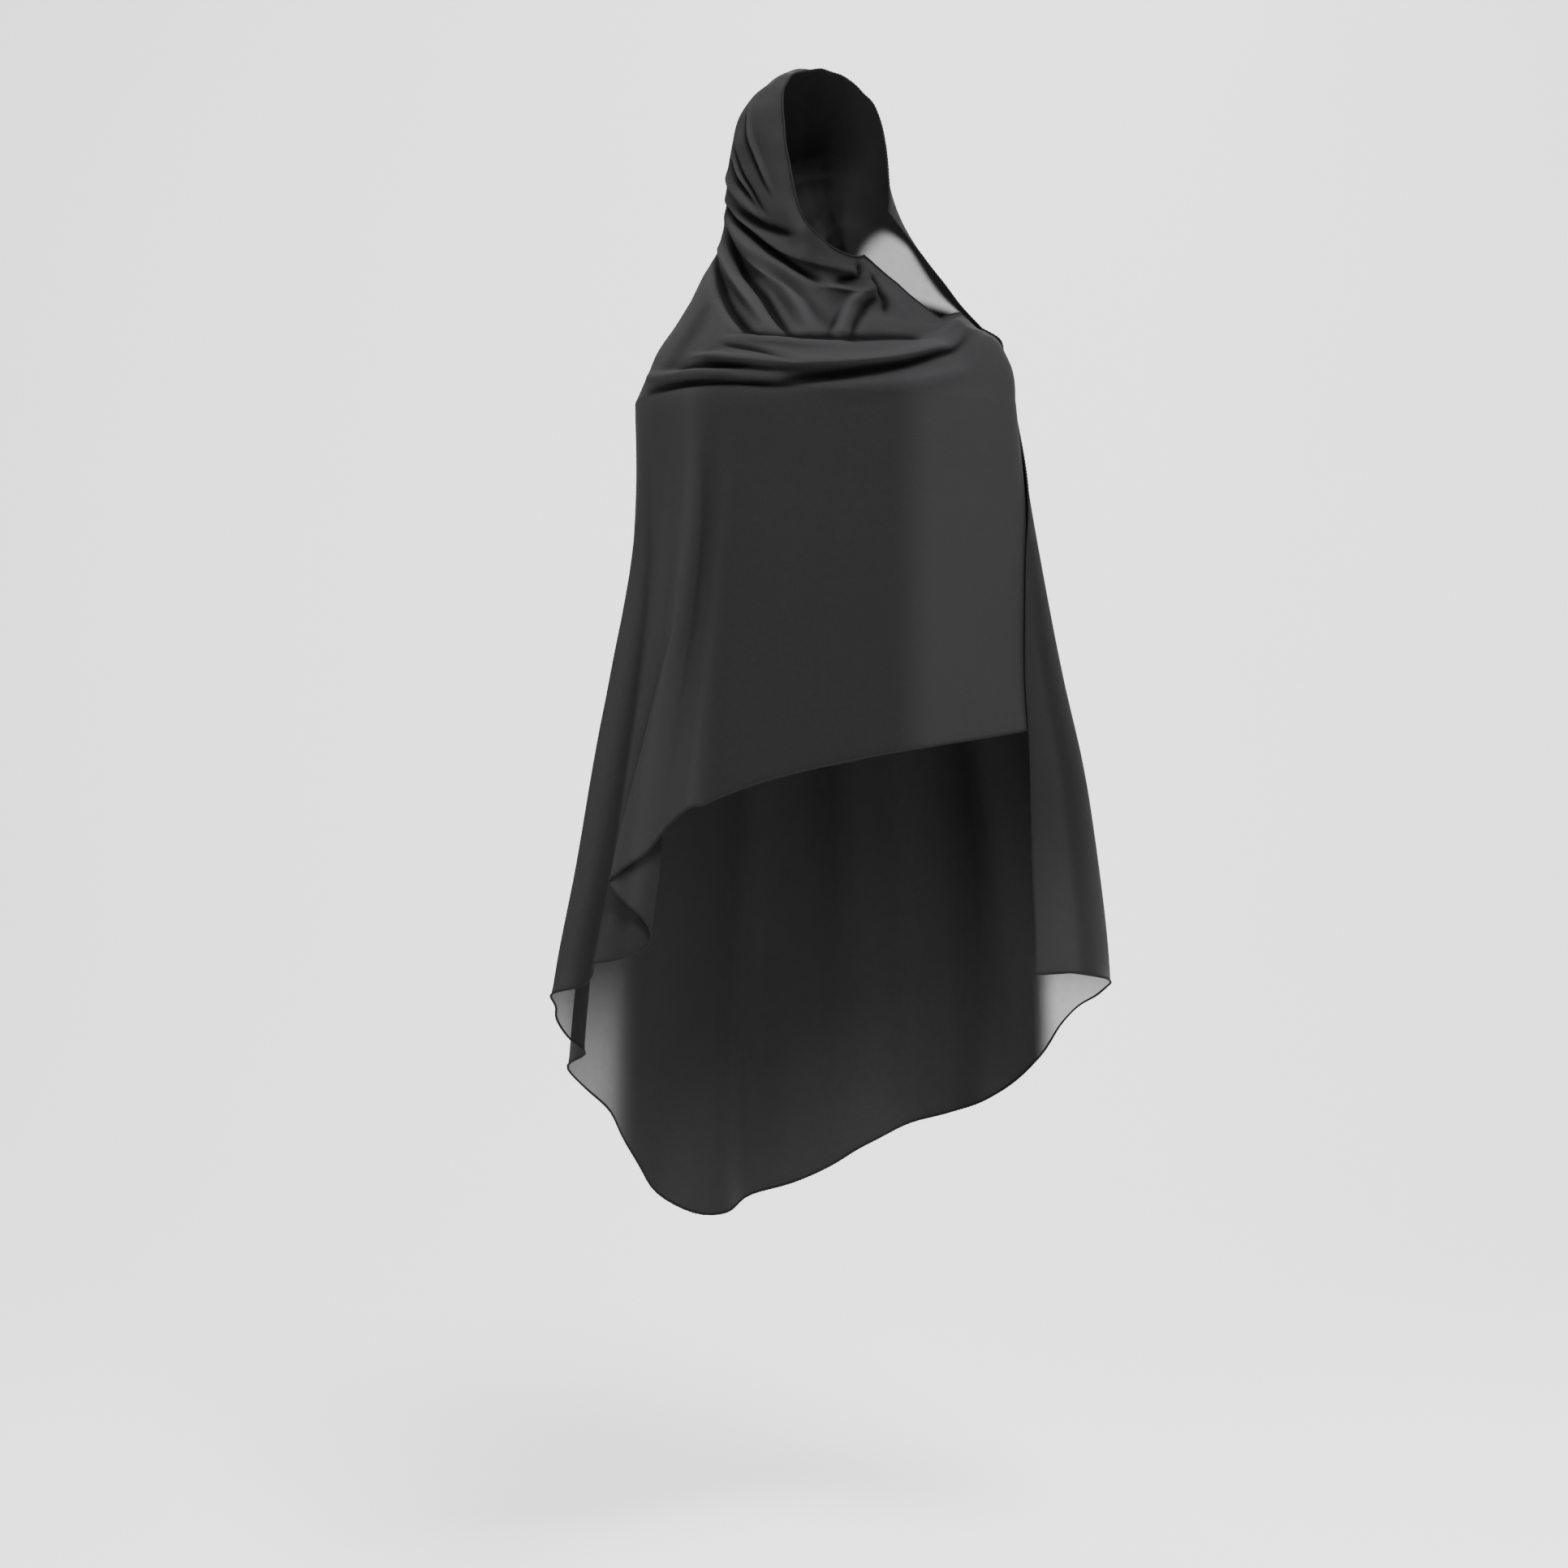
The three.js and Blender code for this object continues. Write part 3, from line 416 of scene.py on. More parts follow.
# How the sheet is made. The first two scale the depths and sags of the table of rolls.
shawlMake = dict(
    rollDepth=1.2, rollSag=1.2, columns=290, hoodRows=206, capeRows=106, topRows=0.4, pleatColumns=1.6,
    placeSteps=4001, smoothing=2, creaseBlur=48, creaseDeep=0.0026, hangDeep=30, hangMost=0.4,
)
# How sharp a hanging fold is, and how a roll is shaped: steps along its line, reach in widths, window in
# radians, and the taper towards its ends
drapeShape = dict(narrow=1.2, edge=0.35, steep=1.6)
rollShape = dict(steps=33, reach=3.2, window=0.6, sideBlend=0.4, ends=(0.015, 0.985), taper=0.7)
millimetres = 1000


# How the hanging folds move a place: its new angle, and its height out of the cloth
def drapeShift(angle, down):
    slid = angle.copy()
    height = np.zeros_like(angle)
    for foldAngle, span, depth, overlap, start in drapeFolds:
        place = (np.degrees(angle) - foldAngle) / span
        grown = smooth((down - start) / (1 - start))
        if overlap == 0:
            stand = np.exp(-place * place * drapeShape["narrow"])
            height += stand * wrap["pleatDepth"] * depth * grown
            continue
        wave = np.sin(np.pi * np.clip(place, -1, 1))
        near = np.exp(-(np.abs(place) ** 3) * drapeShape["edge"])
        slid += -wave * wrap["pleatOverlap"] * overlap * grown / wrap["hemHalfWidth"]
        height += np.tanh(place * drapeShape["steep"]) * near * wrap["pleatDepth"] * depth * grown / 2
    return slid, height


# Grid places round the sheet, closer together across the overlapping fold
def columnPlaces(count):
    first, last = sheetEnds[-1, 1:]
    centre = (drapeFolds[0, 0] - first) / (last - first)
    span = drapeFolds[0, 1] / (last - first)
    fine = np.linspace(0, 1, shawlMake["placeSteps"])
    weight = 1 + shawlMake["pleatColumns"] * np.exp(-(((fine - centre) / span) ** 4))
    total = np.concatenate([[0], np.cumsum((weight[1:] + weight[:-1]) / 2)])
    return np.interp(np.linspace(0, total[-1], count + 1), total, fine)


# Slow, smooth waviness from a few fixed sine waves
def waves(a, b, rows):
    out = np.zeros_like(a)
    for turnsA, turnsB, phase, size in rows:
        out += size * np.sin(turnsA * a + turnsB * b + phase)
    return out


# One roll's height and sag at every grid point, from the distance to its line in space
def rollAt(points, angle, roll):
    start, over, end = (np.array(place, float) for place in roll[:3])
    depth, upper, lower, sag = roll[3:]
    f = np.linspace(0, 1, rollShape["steps"])[:, None]
    middle = 2 * over - (start + end) / 2
    line = (1 - f) ** 2 * start + 2 * f * (1 - f) * middle + f ** 2 * end
    lineAngle = np.radians(line[:, 0])
    lineRing = np.clip(line[:, 1], 0, lastRing)
    spine = plainSurface(lineAngle, lineRing)
    normal = outward(lineAngle, lineRing)
    run = unit(np.gradient(spine, axis=0))
    side = unit(np.cross(run, normal))
    reach = rollShape["reach"] * max(upper, lower) / millimetres
    height = np.zeros(len(points))
    shift = np.zeros((len(points), 3))
    near = np.all((points > spine.min(0) - reach) & (points < spine.max(0) + reach), axis=1)
    near &= angle > lineAngle.min() - rollShape["window"]
    near &= angle < lineAngle.max() + rollShape["window"]
    where = np.nonzero(near)[0]
    if not len(where):
        return height, shift
    p = points[where]
    segment = spine[1:] - spine[:-1]
    length2 = (segment ** 2).sum(-1)
    offset = p[:, None, :] - spine[None, :-1]
    t = np.clip((offset * segment).sum(-1) / length2, 0, 1)
    gap = offset - t[..., None] * segment
    distance = np.linalg.norm(gap, axis=-1)
    best = distance.argmin(1)
    pick = np.arange(len(p))
    t = t[pick, best]
    gap = gap[pick, best]
    sideHere = unit(mix(side[best], side[best + 1], t[:, None]))
    across = (gap * sideHere).sum(-1) * millimetres
    d = distance[pick, best] * millimetres
    along = (best + t) / (len(spine) - 1)
    width = mix(upper, lower, 0.5 + 0.5 * np.tanh(across / (rollShape["sideBlend"] * lower)))
    taper = np.sin(np.pi * np.clip(along, *rollShape["ends"])) ** rollShape["taper"]
    h = np.exp(-((d / width) ** 2)) * taper
    height[where] = depth / millimetres * h
    shift[where] = sideHere * (sag / millimetres * h)[:, None]
    return height, shift


def layRolls(point, angle):
    flat = point.reshape(-1, 3)
    height = np.zeros(len(flat))
    shift = np.zeros((len(flat), 3))
    for roll in rolls.values():
        h, s = rollAt(flat, angle.reshape(-1), roll)
        height += h * shawlMake["rollDepth"]
        shift += s * shawlMake["rollSag"]
    return height.reshape(angle.shape), shift.reshape(point.shape)


# The panel fills the shoulder out to the other layer's rim, and is lifted where it tucks in
def shoulderMove(degrees, ring, normal):
    f = fillPlace
    fill = curveThrough(shoulderFill[:, 0], shoulderFill[:, 1], ring)
    fill = fill * rise(degrees, f["fillFrom"]) * (1 - rise(degrees, f["fillTo"]))
    lift = curveThrough(shoulderFill[:, 0], shoulderFill[:, 2], ring) * rise(degrees, f["liftFrom"])
    lift = lift * (1 - rise(degrees, f["liftTo"]) * rise(ring, f["liftRing"]))
    return normal * fill[..., None] + lift[..., None] * np.array(f["liftWay"])


# How see-through a single layer is
def sheerOf(degrees, ring, drop):
    s = sheerPlace
    lobe = between(degrees, *s["lobe"])
    beside = between(degrees, *s["beside"])
    corner = rise(drop, s["cornerLow"]) * between(degrees, *s["corner"])
    slanted = degrees - s["bandSlant"] * (ring - s["bandRings"][0][0])
    band = rise(degrees, s["bandFrom"]) * (1 - rise(slanted, s["bandTo"]))
    band = band * between(ring, *s["bandRings"])
    low = rise(drop, s["low"]) * (s["lobeShare"] * lobe + s["besideShare"] * beside)
    return np.clip(low + s["cornerShare"] * corner + s["bandShare"] * band, 0, s["most"])


# Painted shadow under the chin, and the cloth darker across the middle of the front panel as the camera
# sees it and where the layer lies double at the left
def darkOf(degrees, ring, point):
    d = darkPlace
    height = point[..., 2]
    turn = math.radians(view["turn"])
    seen = point[..., 0] * math.cos(turn) + point[..., 1] * math.sin(turn)
    panel = rise(height, d["panelFoot"]) * rise(-height, d["panelTop"])
    panel = panel * between(seen, *d["panelSeen"]) * rise(degrees, d["panelFrom"])
    doubled = rise(-degrees, d["doubledTo"]) * rise(height, d["doubledFoot"])
    doubled = doubled * rise(-height, d["doubledTop"])
    # painted shadow under the chin
    paintedChinShadow = between(degrees, *d["chin"]) * (1 - rise(ring, d["chinFoot"]))
    return np.maximum(panel, np.maximum(d["doubledShare"] * doubled, d["chinShadowShare"] * paintedChinShadow))


def makeShawlGrid():
    m = shawlMake
    fall = np.linspace(0, 1, m["capeRows"] + 1)
    ringLine = np.concatenate([
        np.linspace(0, lastRing, m["hoodRows"], endpoint=False),
        lastRing + fall * (m["topRows"] + (1 - m["topRows"]) * fall),
    ])
    ring, across = np.meshgrid(ringLine, columnPlaces(m["columns"]), indexing="ij")
    angle = mix(startAngle(ring), endAngle(ring), across)
    down = np.clip(ring - lastRing, 0, 1)
    slid, drape = drapeShift(angle, down)
    z = mix(topHeight(angle), hemHeight(angle), down)
    slidTop = topHeight(slid)
    capeRing = np.maximum(lastRing + (z - slidTop) / (hemHeight(slid) - slidTop), lastRing)
    placeRing = np.where(ring > lastRing, capeRing, ring)
    point = plainSurface(slid, placeRing)
    normal = outward(slid, placeRing)
    print("plain sheet ready", point.shape)

    height, shift = layRolls(point, slid)
    print("folds laid", len(rolls))

    # small waves in the hood and on the front panel, long flutes down the rest of the cape
    w = wavePlace
    degrees = np.degrees(slid)
    panel = rise(degrees, w["panel"])
    hood = 1 - rise(ring, w["hoodFoot"])
    roundTurns, downTurns = w["hoodTurns"]
    fine = waves(slid * roundTurns, ring * downTurns, hoodWaves)
    flute = waves(slid, down, fluteWaves)
    front = waves(slid, down, panelWaves)
    fluteGrow = smooth(down * w["fluteGrowth"] + w["fluteStart"])
    wavy = fine * hood * w["hoodShare"] + (flute * (1 - panel) + front * panel) * fluteGrow
    layer = np.maximum(1 - rise(degrees, calmPlace["outer"]), rise(degrees, calmPlace["inner"]))
    calm = 1 - calmPlace["folds"] * layer
    sagCalm = 1 - calmPlace["sag"] * layer
    total = drape + (height + wavy / millimetres) * calm
    move = normal * total[..., None] + shift * sagCalm[..., None]
    move += shoulderMove(degrees, ring, normal)
    for step in range(m["smoothing"]):
        inner = move[1:-1, 1:-1]
        around = move[:-2, 1:-1] + move[2:, 1:-1] + move[1:-1, :-2] + move[1:-1, 2:]
        move[1:-1, 1:-1] = inner / 2 + around / 8
    point = point + move

    # painted shade in the hollows between the hanging folds and painted highlight on their crests, as in
    # the creases and on the ridges
    hanging = (drape * millimetres + flute * fluteGrow) * (1 - panel) / m["hangDeep"]
    paintedFoldShade = creaseOf(height * calm) - np.clip(hanging, -m["hangMost"], m["hangMost"])
    return point, sheerOf(degrees, ring, -point[..., 2]), darkOf(degrees, ring, point), paintedFoldShade


# How deep a place lies between its neighbours: above 0 in a crease, below 0 on a ridge. It sets the painted
# shade in the creases and the painted highlight on the ridges.
def creaseOf(height):
    around = height.copy()
    for step in range(shawlMake["creaseBlur"]):
        around[1:-1] = around[1:-1] / 2 + (around[:-2] + around[2:]) / 4
        around[:, 1:-1] = around[:, 1:-1] / 2 + (around[:, :-2] + around[:, 2:]) / 4
    return np.clip((around - height) / shawlMake["creaseDeep"], -1, 1)


def finishMesh(mesh):
    mesh.update()
    mesh.shade_smooth()


def makeShawl():
    point, sheer, dark, paintedFoldShade = makeShawlGrid()
    rowCount, columnCount = point.shape[:2]
    index = np.arange(rowCount * columnCount).reshape(rowCount, columnCount)
    corners = np.stack([index[:-1, :-1], index[1:, :-1], index[1:, 1:], index[:-1, 1:]], -1).reshape(-1, 4)
    mesh = bpy.data.meshes.new("shawl_cloth")
    mesh.vertices.add(rowCount * columnCount)
    mesh.vertices.foreach_set("co", point.reshape(-1))
    mesh.loops.add(corners.size)
    mesh.loops.foreach_set("vertex_index", corners.reshape(-1))
    mesh.polygons.add(len(corners))
    mesh.polygons.foreach_set("loop_start", np.arange(0, corners.size, 4))
    mesh.update(calc_edges=True)
    # UV in metres: along the rows and down the columns of the sheet
    run = np.zeros(point.shape[:2])
    run[:, 1:] = np.cumsum(np.linalg.norm(np.diff(point, axis=1), axis=-1), axis=1)
    fall = np.zeros(point.shape[:2])
    fall[1:] = np.cumsum(np.linalg.norm(np.diff(point, axis=0), axis=-1), axis=0)
    uv = np.stack([run - run[:, -1:] / 2, fall], -1).reshape(-1, 2)[corners.reshape(-1)]
    layer = mesh.uv_layers.new(name="clothMetres")
    layer.data.foreach_set("uv", uv.reshape(-1))
    # The last two attributes hold painted shade under the chin and in the creases and hollows, and painted
    # highlight on the ridges
    for name, values in (("sheer", sheer), ("chinShadeAndDarkerCloth", dark), ("paintedFoldShade", paintedFoldShade)):
        mesh.attributes.new(name, "FLOAT", "POINT").data.foreach_set("value", values.reshape(-1))
    finishMesh(mesh)
    cloth = bpy.data.objects.new("shawl_cloth", mesh)
    scene.collection.objects.link(cloth)
    edges = (run[0, -1], fall[:, 0].max(), run[-1, -1])
    print("shawl made", len(corners) * 2, "triangles; face edge, left edge and hem in metres", edges)
    return cloth, point


shawl, shawlGrid = makeShawl()


# Rolled hems: a cord along the sheet's rim with a stitch at every pucker, made by Geometry Nodes
hemMake = dict(
    rollRadius=0.0013, pucker=0.16, stitchPitch=0.0042, threadRadius=0.00028, sides=8, leastStep=1e-6,
    pointsPerStitch=4.0, slowTurns=61.0, slowSize=0.08, stitchSize=(1.0, 1.0, 4.5), stitchFaces=(6, 4),
)


# The rim as a row of points, with the cloth's own normals, from one corner to the next
def rimPieces(grid):
    along = np.gradient(grid, axis=1)
    down = np.gradient(grid, axis=0)
    normal = unit(np.cross(down, along))
    rowOfShoulder = shawlMake["hoodRows"]
    places = columnPlaces(shawlMake["columns"])
    first, last = sheetEnds[-1, 1:]
    backColumn = int(np.searchsorted(places, (backCornerAngle - first) / (last - first)))
    lines = {
        "upper_long_hem": [
            (slice(rowOfShoulder, None, -1), -1), (0, slice(-1, 0, -1)), (slice(0, None), 0),
        ],
        "left_end_hem": [(-1, slice(0, backColumn + 1))],
        "lower_long_hem": [(-1, slice(backColumn, None))],
        "right_end_hem": [(slice(None, rowOfShoulder - 1, -1), -1)],
    }
    made = {}
    for name, parts in lines.items():
        points = np.vstack([grid[part] for part in parts])
        normals = np.vstack([normal[part] for part in parts])
        steps = np.linalg.norm(np.diff(points, axis=0), axis=-1)
        keep = np.concatenate([[True], steps > hemMake["leastStep"]])
        made[name] = (points[keep], normals[keep])
    return made


class NodeBoard:
    # Adds nodes to a tree: a type, its settings, then the values or links of its sockets
    def __init__(self, tree):
        self.tree = tree

    def node(self, kind, settings=None, values=None):
        made = self.tree.nodes.new(kind)
        for key, value in (settings or {}).items():
            setattr(made, key, value)
        for key, value in (values or {}).items():
            self.join(value, made.inputs[key])
        return made

    def join(self, value, socket):
        if isinstance(value, Signal):
            value = value.socket
        if isinstance(value, bpy.types.NodeSocket):
            self.tree.links.new(value, socket)
        else:
            socket.default_value = value

    def signal(self, socket):
        return Signal(self, socket)


class Signal:
    # A socket that can be used in sums
    def __init__(self, board, socket):
        self.board = board
        self.socket = socket

    def maths(self, operation, first, second=None):
        values = {0: first}
        if second is not None:
            values[1] = second
        made = self.board.node("ShaderNodeMath", {"operation": operation}, values)
        return Signal(self.board, made.outputs[0])

    def __add__(self, other):
        return self.maths("ADD", self, other)

    def __radd__(self, other):
        return self.maths("ADD", other, self)

    def __rsub__(self, other):
        return self.maths("SUBTRACT", other, self)

    def __mul__(self, other):
        return self.maths("MULTIPLY", self, other)

    def __rmul__(self, other):
        return self.maths("MULTIPLY", other, self)

    def __truediv__(self, other):
        return self.maths("DIVIDE", self, other)

    def wave(self):
        return self.maths("SINE", self)


def hemTree():
    tree = bpy.data.node_groups.new("rolledHem", "GeometryNodeTree")
    tree.is_modifier = True
    face = tree.interface
    face.new_socket("Rim", in_out="INPUT", socket_type="NodeSocketGeometry")
    for name in ("Roll Radius", "Pucker", "Stitch Pitch", "Thread Radius"):
        face.new_socket(name, in_out="INPUT", socket_type="NodeSocketFloat")
    face.new_socket("Sides", in_out="INPUT", socket_type="NodeSocketInt")
    face.new_socket("Cloth", in_out="INPUT", socket_type="NodeSocketMaterial")
    face.new_socket("Thread", in_out="INPUT", socket_type="NodeSocketMaterial")
    face.new_socket("Hem", in_out="OUTPUT", socket_type="NodeSocketGeometry")
    board = NodeBoard(tree)
    source = board.node("NodeGroupInput")
    radius = board.signal(source.outputs["Roll Radius"])
    pitch = board.signal(source.outputs["Stitch Pitch"])
    line = board.node("GeometryNodeMeshToCurve", {}, {"Mesh": source.outputs["Rim"]})
    fine = board.node("GeometryNodeResampleCurve", {"mode": "LENGTH"}, {
        "Curve": line.outputs[0], "Length": pitch / hemMake["pointsPerStitch"],
    })
    travelled = board.signal(board.node("GeometryNodeSplineParameter").outputs["Length"])
    puckers = (travelled * (2 * math.pi) / pitch).wave() * board.signal(source.outputs["Pucker"])
    slow = (travelled * hemMake["slowTurns"]).wave() * hemMake["slowSize"]
    thick = 1.0 + puckers + slow
    ring = board.node("GeometryNodeCurvePrimitiveCircle", {"mode": "RADIUS"}, {
        "Resolution": source.outputs["Sides"], "Radius": radius,
    })
    roll = board.node("GeometryNodeCurveToMesh", {}, {
        "Curve": fine.outputs[0], "Profile Curve": ring.outputs[0], "Scale": thick, "Fill Caps": True,
    })
    rollSmooth = board.node("GeometryNodeSetShadeSmooth", {}, {0: roll.outputs[0]})
    rollCloth = board.node("GeometryNodeSetMaterial", {}, {
        0: rollSmooth.outputs[0], "Material": source.outputs["Cloth"],
    })
    spots = board.node("GeometryNodeResampleCurve", {"mode": "LENGTH"}, {
        "Curve": line.outputs[0], "Length": pitch,
    })
    normal = board.node("GeometryNodeInputNamedAttribute", {"data_type": "FLOAT_VECTOR"}, {
        "Name": "clothNormal",
    })
    lift = board.node("ShaderNodeVectorMath", {"operation": "SCALE"}, {
        0: normal.outputs[0], "Scale": radius,
    })
    lifted = board.node("GeometryNodeSetPosition", {}, {0: spots.outputs[0], "Offset": lift.outputs[0]})
    tangent = board.node("GeometryNodeInputTangent")
    turn = board.node("FunctionNodeAlignRotationToVector", {"axis": "Z"}, {"Vector": tangent.outputs[0]})
    segments, rings = hemMake["stitchFaces"]
    thread = board.node("GeometryNodeMeshUVSphere", {}, {
        "Segments": segments, "Rings": rings, "Radius": source.outputs["Thread Radius"],
    })
    stitches = board.node("GeometryNodeInstanceOnPoints", {}, {
        "Points": lifted.outputs[0], "Instance": thread.outputs[0], "Rotation": turn.outputs[0],
        "Scale": hemMake["stitchSize"],
    })
    whole = board.node("GeometryNodeRealizeInstances", {}, {0: stitches.outputs[0]})
    threadSmooth = board.node("GeometryNodeSetShadeSmooth", {}, {0: whole.outputs[0]})
    threadPaint = board.node("GeometryNodeSetMaterial", {}, {
        0: threadSmooth.outputs[0], "Material": source.outputs["Thread"],
    })
    both = board.node("GeometryNodeJoinGeometry")
    tree.links.new(rollCloth.outputs[0], both.inputs[0])
    tree.links.new(threadPaint.outputs[0], both.inputs[0])
    board.node("NodeGroupOutput", {}, {0: both.outputs[0]})
    return tree


def makeHems(grid, clothPaint, threadPaint):
    tree = hemTree()
    sockets = {s.name: s.identifier for s in tree.interface.items_tree if s.in_out == "INPUT"}
    settings = {
        "Roll Radius": hemMake["rollRadius"], "Pucker": hemMake["pucker"],
        "Stitch Pitch": hemMake["stitchPitch"], "Thread Radius": hemMake["threadRadius"],
        "Sides": hemMake["sides"], "Cloth": clothPaint, "Thread": threadPaint,
    }
    hems = []
    for name, (points, normals) in rimPieces(grid).items():
        mesh = bpy.data.meshes.new(name + "_line")
        edges = [(i, i + 1) for i in range(len(points) - 1)]
        mesh.from_pydata(points.tolist(), edges, [])
        stored = mesh.attributes.new("clothNormal", "FLOAT_VECTOR", "POINT")
        stored.data.foreach_set("vector", normals.reshape(-1))
        line = bpy.data.objects.new(name + "_line", mesh)
        scene.collection.objects.link(line)
        modifier = line.modifiers.new("rolledHem", "NODES")
        modifier.node_group = tree
        for socket, value in settings.items():
            modifier[sockets[socket]] = value
        grown = line.evaluated_get(bpy.context.evaluated_depsgraph_get())
        made = bpy.data.meshes.new_from_object(grown)
        made.name = name + "_roll"
        hem = bpy.data.objects.new(name + "_roll", made)
        scene.collection.objects.link(hem)
        bpy.data.objects.remove(line)
        hems.append((name, hem))
        print("hem made", name, len(made.polygons), "faces")
    return hems


# Finishes: colours, noises, and how much each noise moves the tone, the roughness or the opacity
chiffonLook = dict(
    colour=(0.0165, 0.0165, 0.0174), dark=(0.0120, 0.0122, 0.0135), warm=(0.0192, 0.0184, 0.0181),
    # The last two amounts on the next line are painted shade in the creases and painted highlight on the
    # ridges
    # The second amount on the next line darkens the cloth: painted shadow under the chin, and a darker
    # middle of the front panel and doubled layer
    tint=0.5, chinShadeAndDarkerCloth=0.6, paintedCreaseShade=0.86, paintedRidgeHighlight=0.3,
    threadsPerMetre=1500, wander=dict(scale=45.0), wanderSize=1.6,
    crepe=dict(scale=620.0, detail=3.0, roughness=0.65), slub=dict(scale=90.0, detail=4.0, roughness=0.6),
    cloud=dict(scale=3.2, detail=3.0, roughness=0.55),
    tone=0.9, crepeTone=0.12, slubTone=0.08, weaveTone=0.04,
    clear=0.86, slubClear=0.22, weaveClear=0.1,
    roughness=0.84, crepeRough=0.1, slubRough=0.08, sheen=0.01, sheenRoughness=0.4, specular=0.05,
    crepeDepth=0.00035, crepeStrength=0.55, weaveDepth=0.00012, weaveStrength=0.5,
)
hemLook = dict(colour=(0.0085, 0.0085, 0.0095), roughness=0.85)
stitchLook = dict(colour=(0.006, 0.006, 0.007), roughness=0.6)
threadLook = dict(
    twist=dict(scale=900.0), slub=dict(scale=70.0, detail=3.0), tone=0.78, twistTone=0.3, slubTone=0.14,
    slubRough=0.1, twistDepth=0.0003, twistStrength=0.5, specular=0.08,
)
pinLook = dict(
    colour=(0.55, 0.55, 0.57), roughness=0.28, scratch=dict(scale=1400.0), tone=0.92, scratchTone=0.12,
    scratchRough=0.12,
)


def newMaterial(name):
    paint = bpy.data.materials.new(name)
    paint.use_nodes = True
    paint.node_tree.nodes.clear()
    return paint, NodeBoard(paint.node_tree)


def colour(rgb):
    return (*rgb, 1.0)


def blendColours(board, factor, first, second, mode="MIX"):
    made = board.node("ShaderNodeMix", {"data_type": "RGBA", "blend_type": mode}, {
        0: factor, 6: first, 7: second,
    })
    return made.outputs[2]


def noise(board, place, scale, detail=2.0, roughness=0.5):
    made = board.node("ShaderNodeTexNoise", {}, {
        "Vector": place, "Scale": scale, "Detail": detail, "Roughness": roughness,
    })
    return board.signal(made.outputs[0])


def storedValue(board, name):
    return board.signal(board.node("ShaderNodeAttribute", {"attribute_name": name}).outputs["Fac"])


# A colour times a tone
def shaded(board, base, tone):
    grey = board.node("ShaderNodeCombineXYZ", {}, {0: tone, 1: tone, 2: tone}).outputs[0]
    return blendColours(board, 1.0, base, grey, "MULTIPLY")


def closePaint(board, values):
    shader = board.node("ShaderNodeBsdfPrincipled", {}, values)
    board.node("ShaderNodeOutputMaterial", {}, {0: shader.outputs[0]})


def chiffonPaint():
    look = chiffonLook
    paint, board = newMaterial("chiffon")
    place = board.node("ShaderNodeTexCoord").outputs["Object"]
    metres = board.node("ShaderNodeUVMap", {"uv_map": "clothMetres"}).outputs[0]
    split = board.node("ShaderNodeSeparateXYZ", {}, {0: metres})
    across = board.signal(split.outputs[0])
    along = board.signal(split.outputs[1])
    # threads both ways, wandering a little, over a grainy crepe
    wander = noise(board, place, **look["wander"]) * look["wanderSize"]
    turns = 2 * math.pi * look["threadsPerMetre"]
    warp = (across * turns + wander).wave()
    weft = (along * turns + wander).wave()
    weave = warp * weft
    crepe = noise(board, place, **look["crepe"])
    slub = noise(board, place, **look["slub"])
    cloudy = noise(board, place, **look["cloud"])
    base = blendColours(board, cloudy, colour(look["dark"]), colour(look["warm"]))
    base = blendColours(board, look["tint"], base, colour(look["colour"]))
    grain = look["tone"] + look["crepeTone"] * crepe + look["slubTone"] * slub + look["weaveTone"] * weave
    paintedFoldShade = storedValue(board, "paintedFoldShade")
    valley = paintedFoldShade.maths("MAXIMUM", paintedFoldShade, 0.0)
    ridge = paintedFoldShade.maths("MAXIMUM", paintedFoldShade * -1.0, 0.0)
    # painted shadow under the chin, and the front panel's middle and the doubled layer darker
    tone = grain * (1 - (1 - look["chinShadeAndDarkerCloth"]) * storedValue(board, "chinShadeAndDarkerCloth"))
    # painted shade in the creases and hollows, painted highlight on the ridges
    tone = tone * (1 - look["paintedCreaseShade"] * valley + look["paintedRidgeHighlight"] * ridge)
    thin = look["clear"] + look["slubClear"] * slub + look["weaveClear"] * weave
    low = board.node("ShaderNodeBump", {}, {
        "Strength": look["crepeStrength"], "Distance": look["crepeDepth"], "Height": crepe,
    })
    high = board.node("ShaderNodeBump", {}, {
        "Strength": look["weaveStrength"], "Distance": look["weaveDepth"], "Height": weave,
        "Normal": low.outputs[0],
    })
    closePaint(board, {
        "Base Color": shaded(board, base, tone),
        "Roughness": look["roughness"] - look["crepeRough"] * crepe + look["slubRough"] * slub,
        "Alpha": 1 - storedValue(board, "sheer") * thin, "Normal": high.outputs[0],
        "Sheen Weight": look["sheen"], "Sheen Roughness": look["sheenRoughness"],
        "Specular IOR Level": look["specular"],
    })
    return paint


def threadyPaint(name, own):
    look = threadLook
    paint, board = newMaterial(name)
    place = board.node("ShaderNodeTexCoord").outputs["Object"]
    twist = noise(board, place, **look["twist"])
    slub = noise(board, place, **look["slub"])
    tone = look["tone"] + look["twistTone"] * twist + look["slubTone"] * slub
    bump = board.node("ShaderNodeBump", {}, {
        "Strength": look["twistStrength"], "Distance": look["twistDepth"], "Height": twist,
    })
    closePaint(board, {
        "Base Color": shaded(board, colour(own["colour"]), tone),
        "Roughness": own["roughness"] + look["slubRough"] * slub, "Normal": bump.outputs[0],
        "Specular IOR Level": look["specular"],
    })
    return paint


def steelPaint():
    look = pinLook
    paint, board = newMaterial("pinSteel")
    place = board.node("ShaderNodeTexCoord").outputs["Object"]
    scratches = noise(board, place, **look["scratch"])
    tone = look["tone"] + look["scratchTone"] * scratches
    closePaint(board, {
        "Base Color": shaded(board, colour(look["colour"]), tone), "Metallic": 1.0,
        "Roughness": look["roughness"] + look["scratchRough"] * scratches,
    })
    return paint


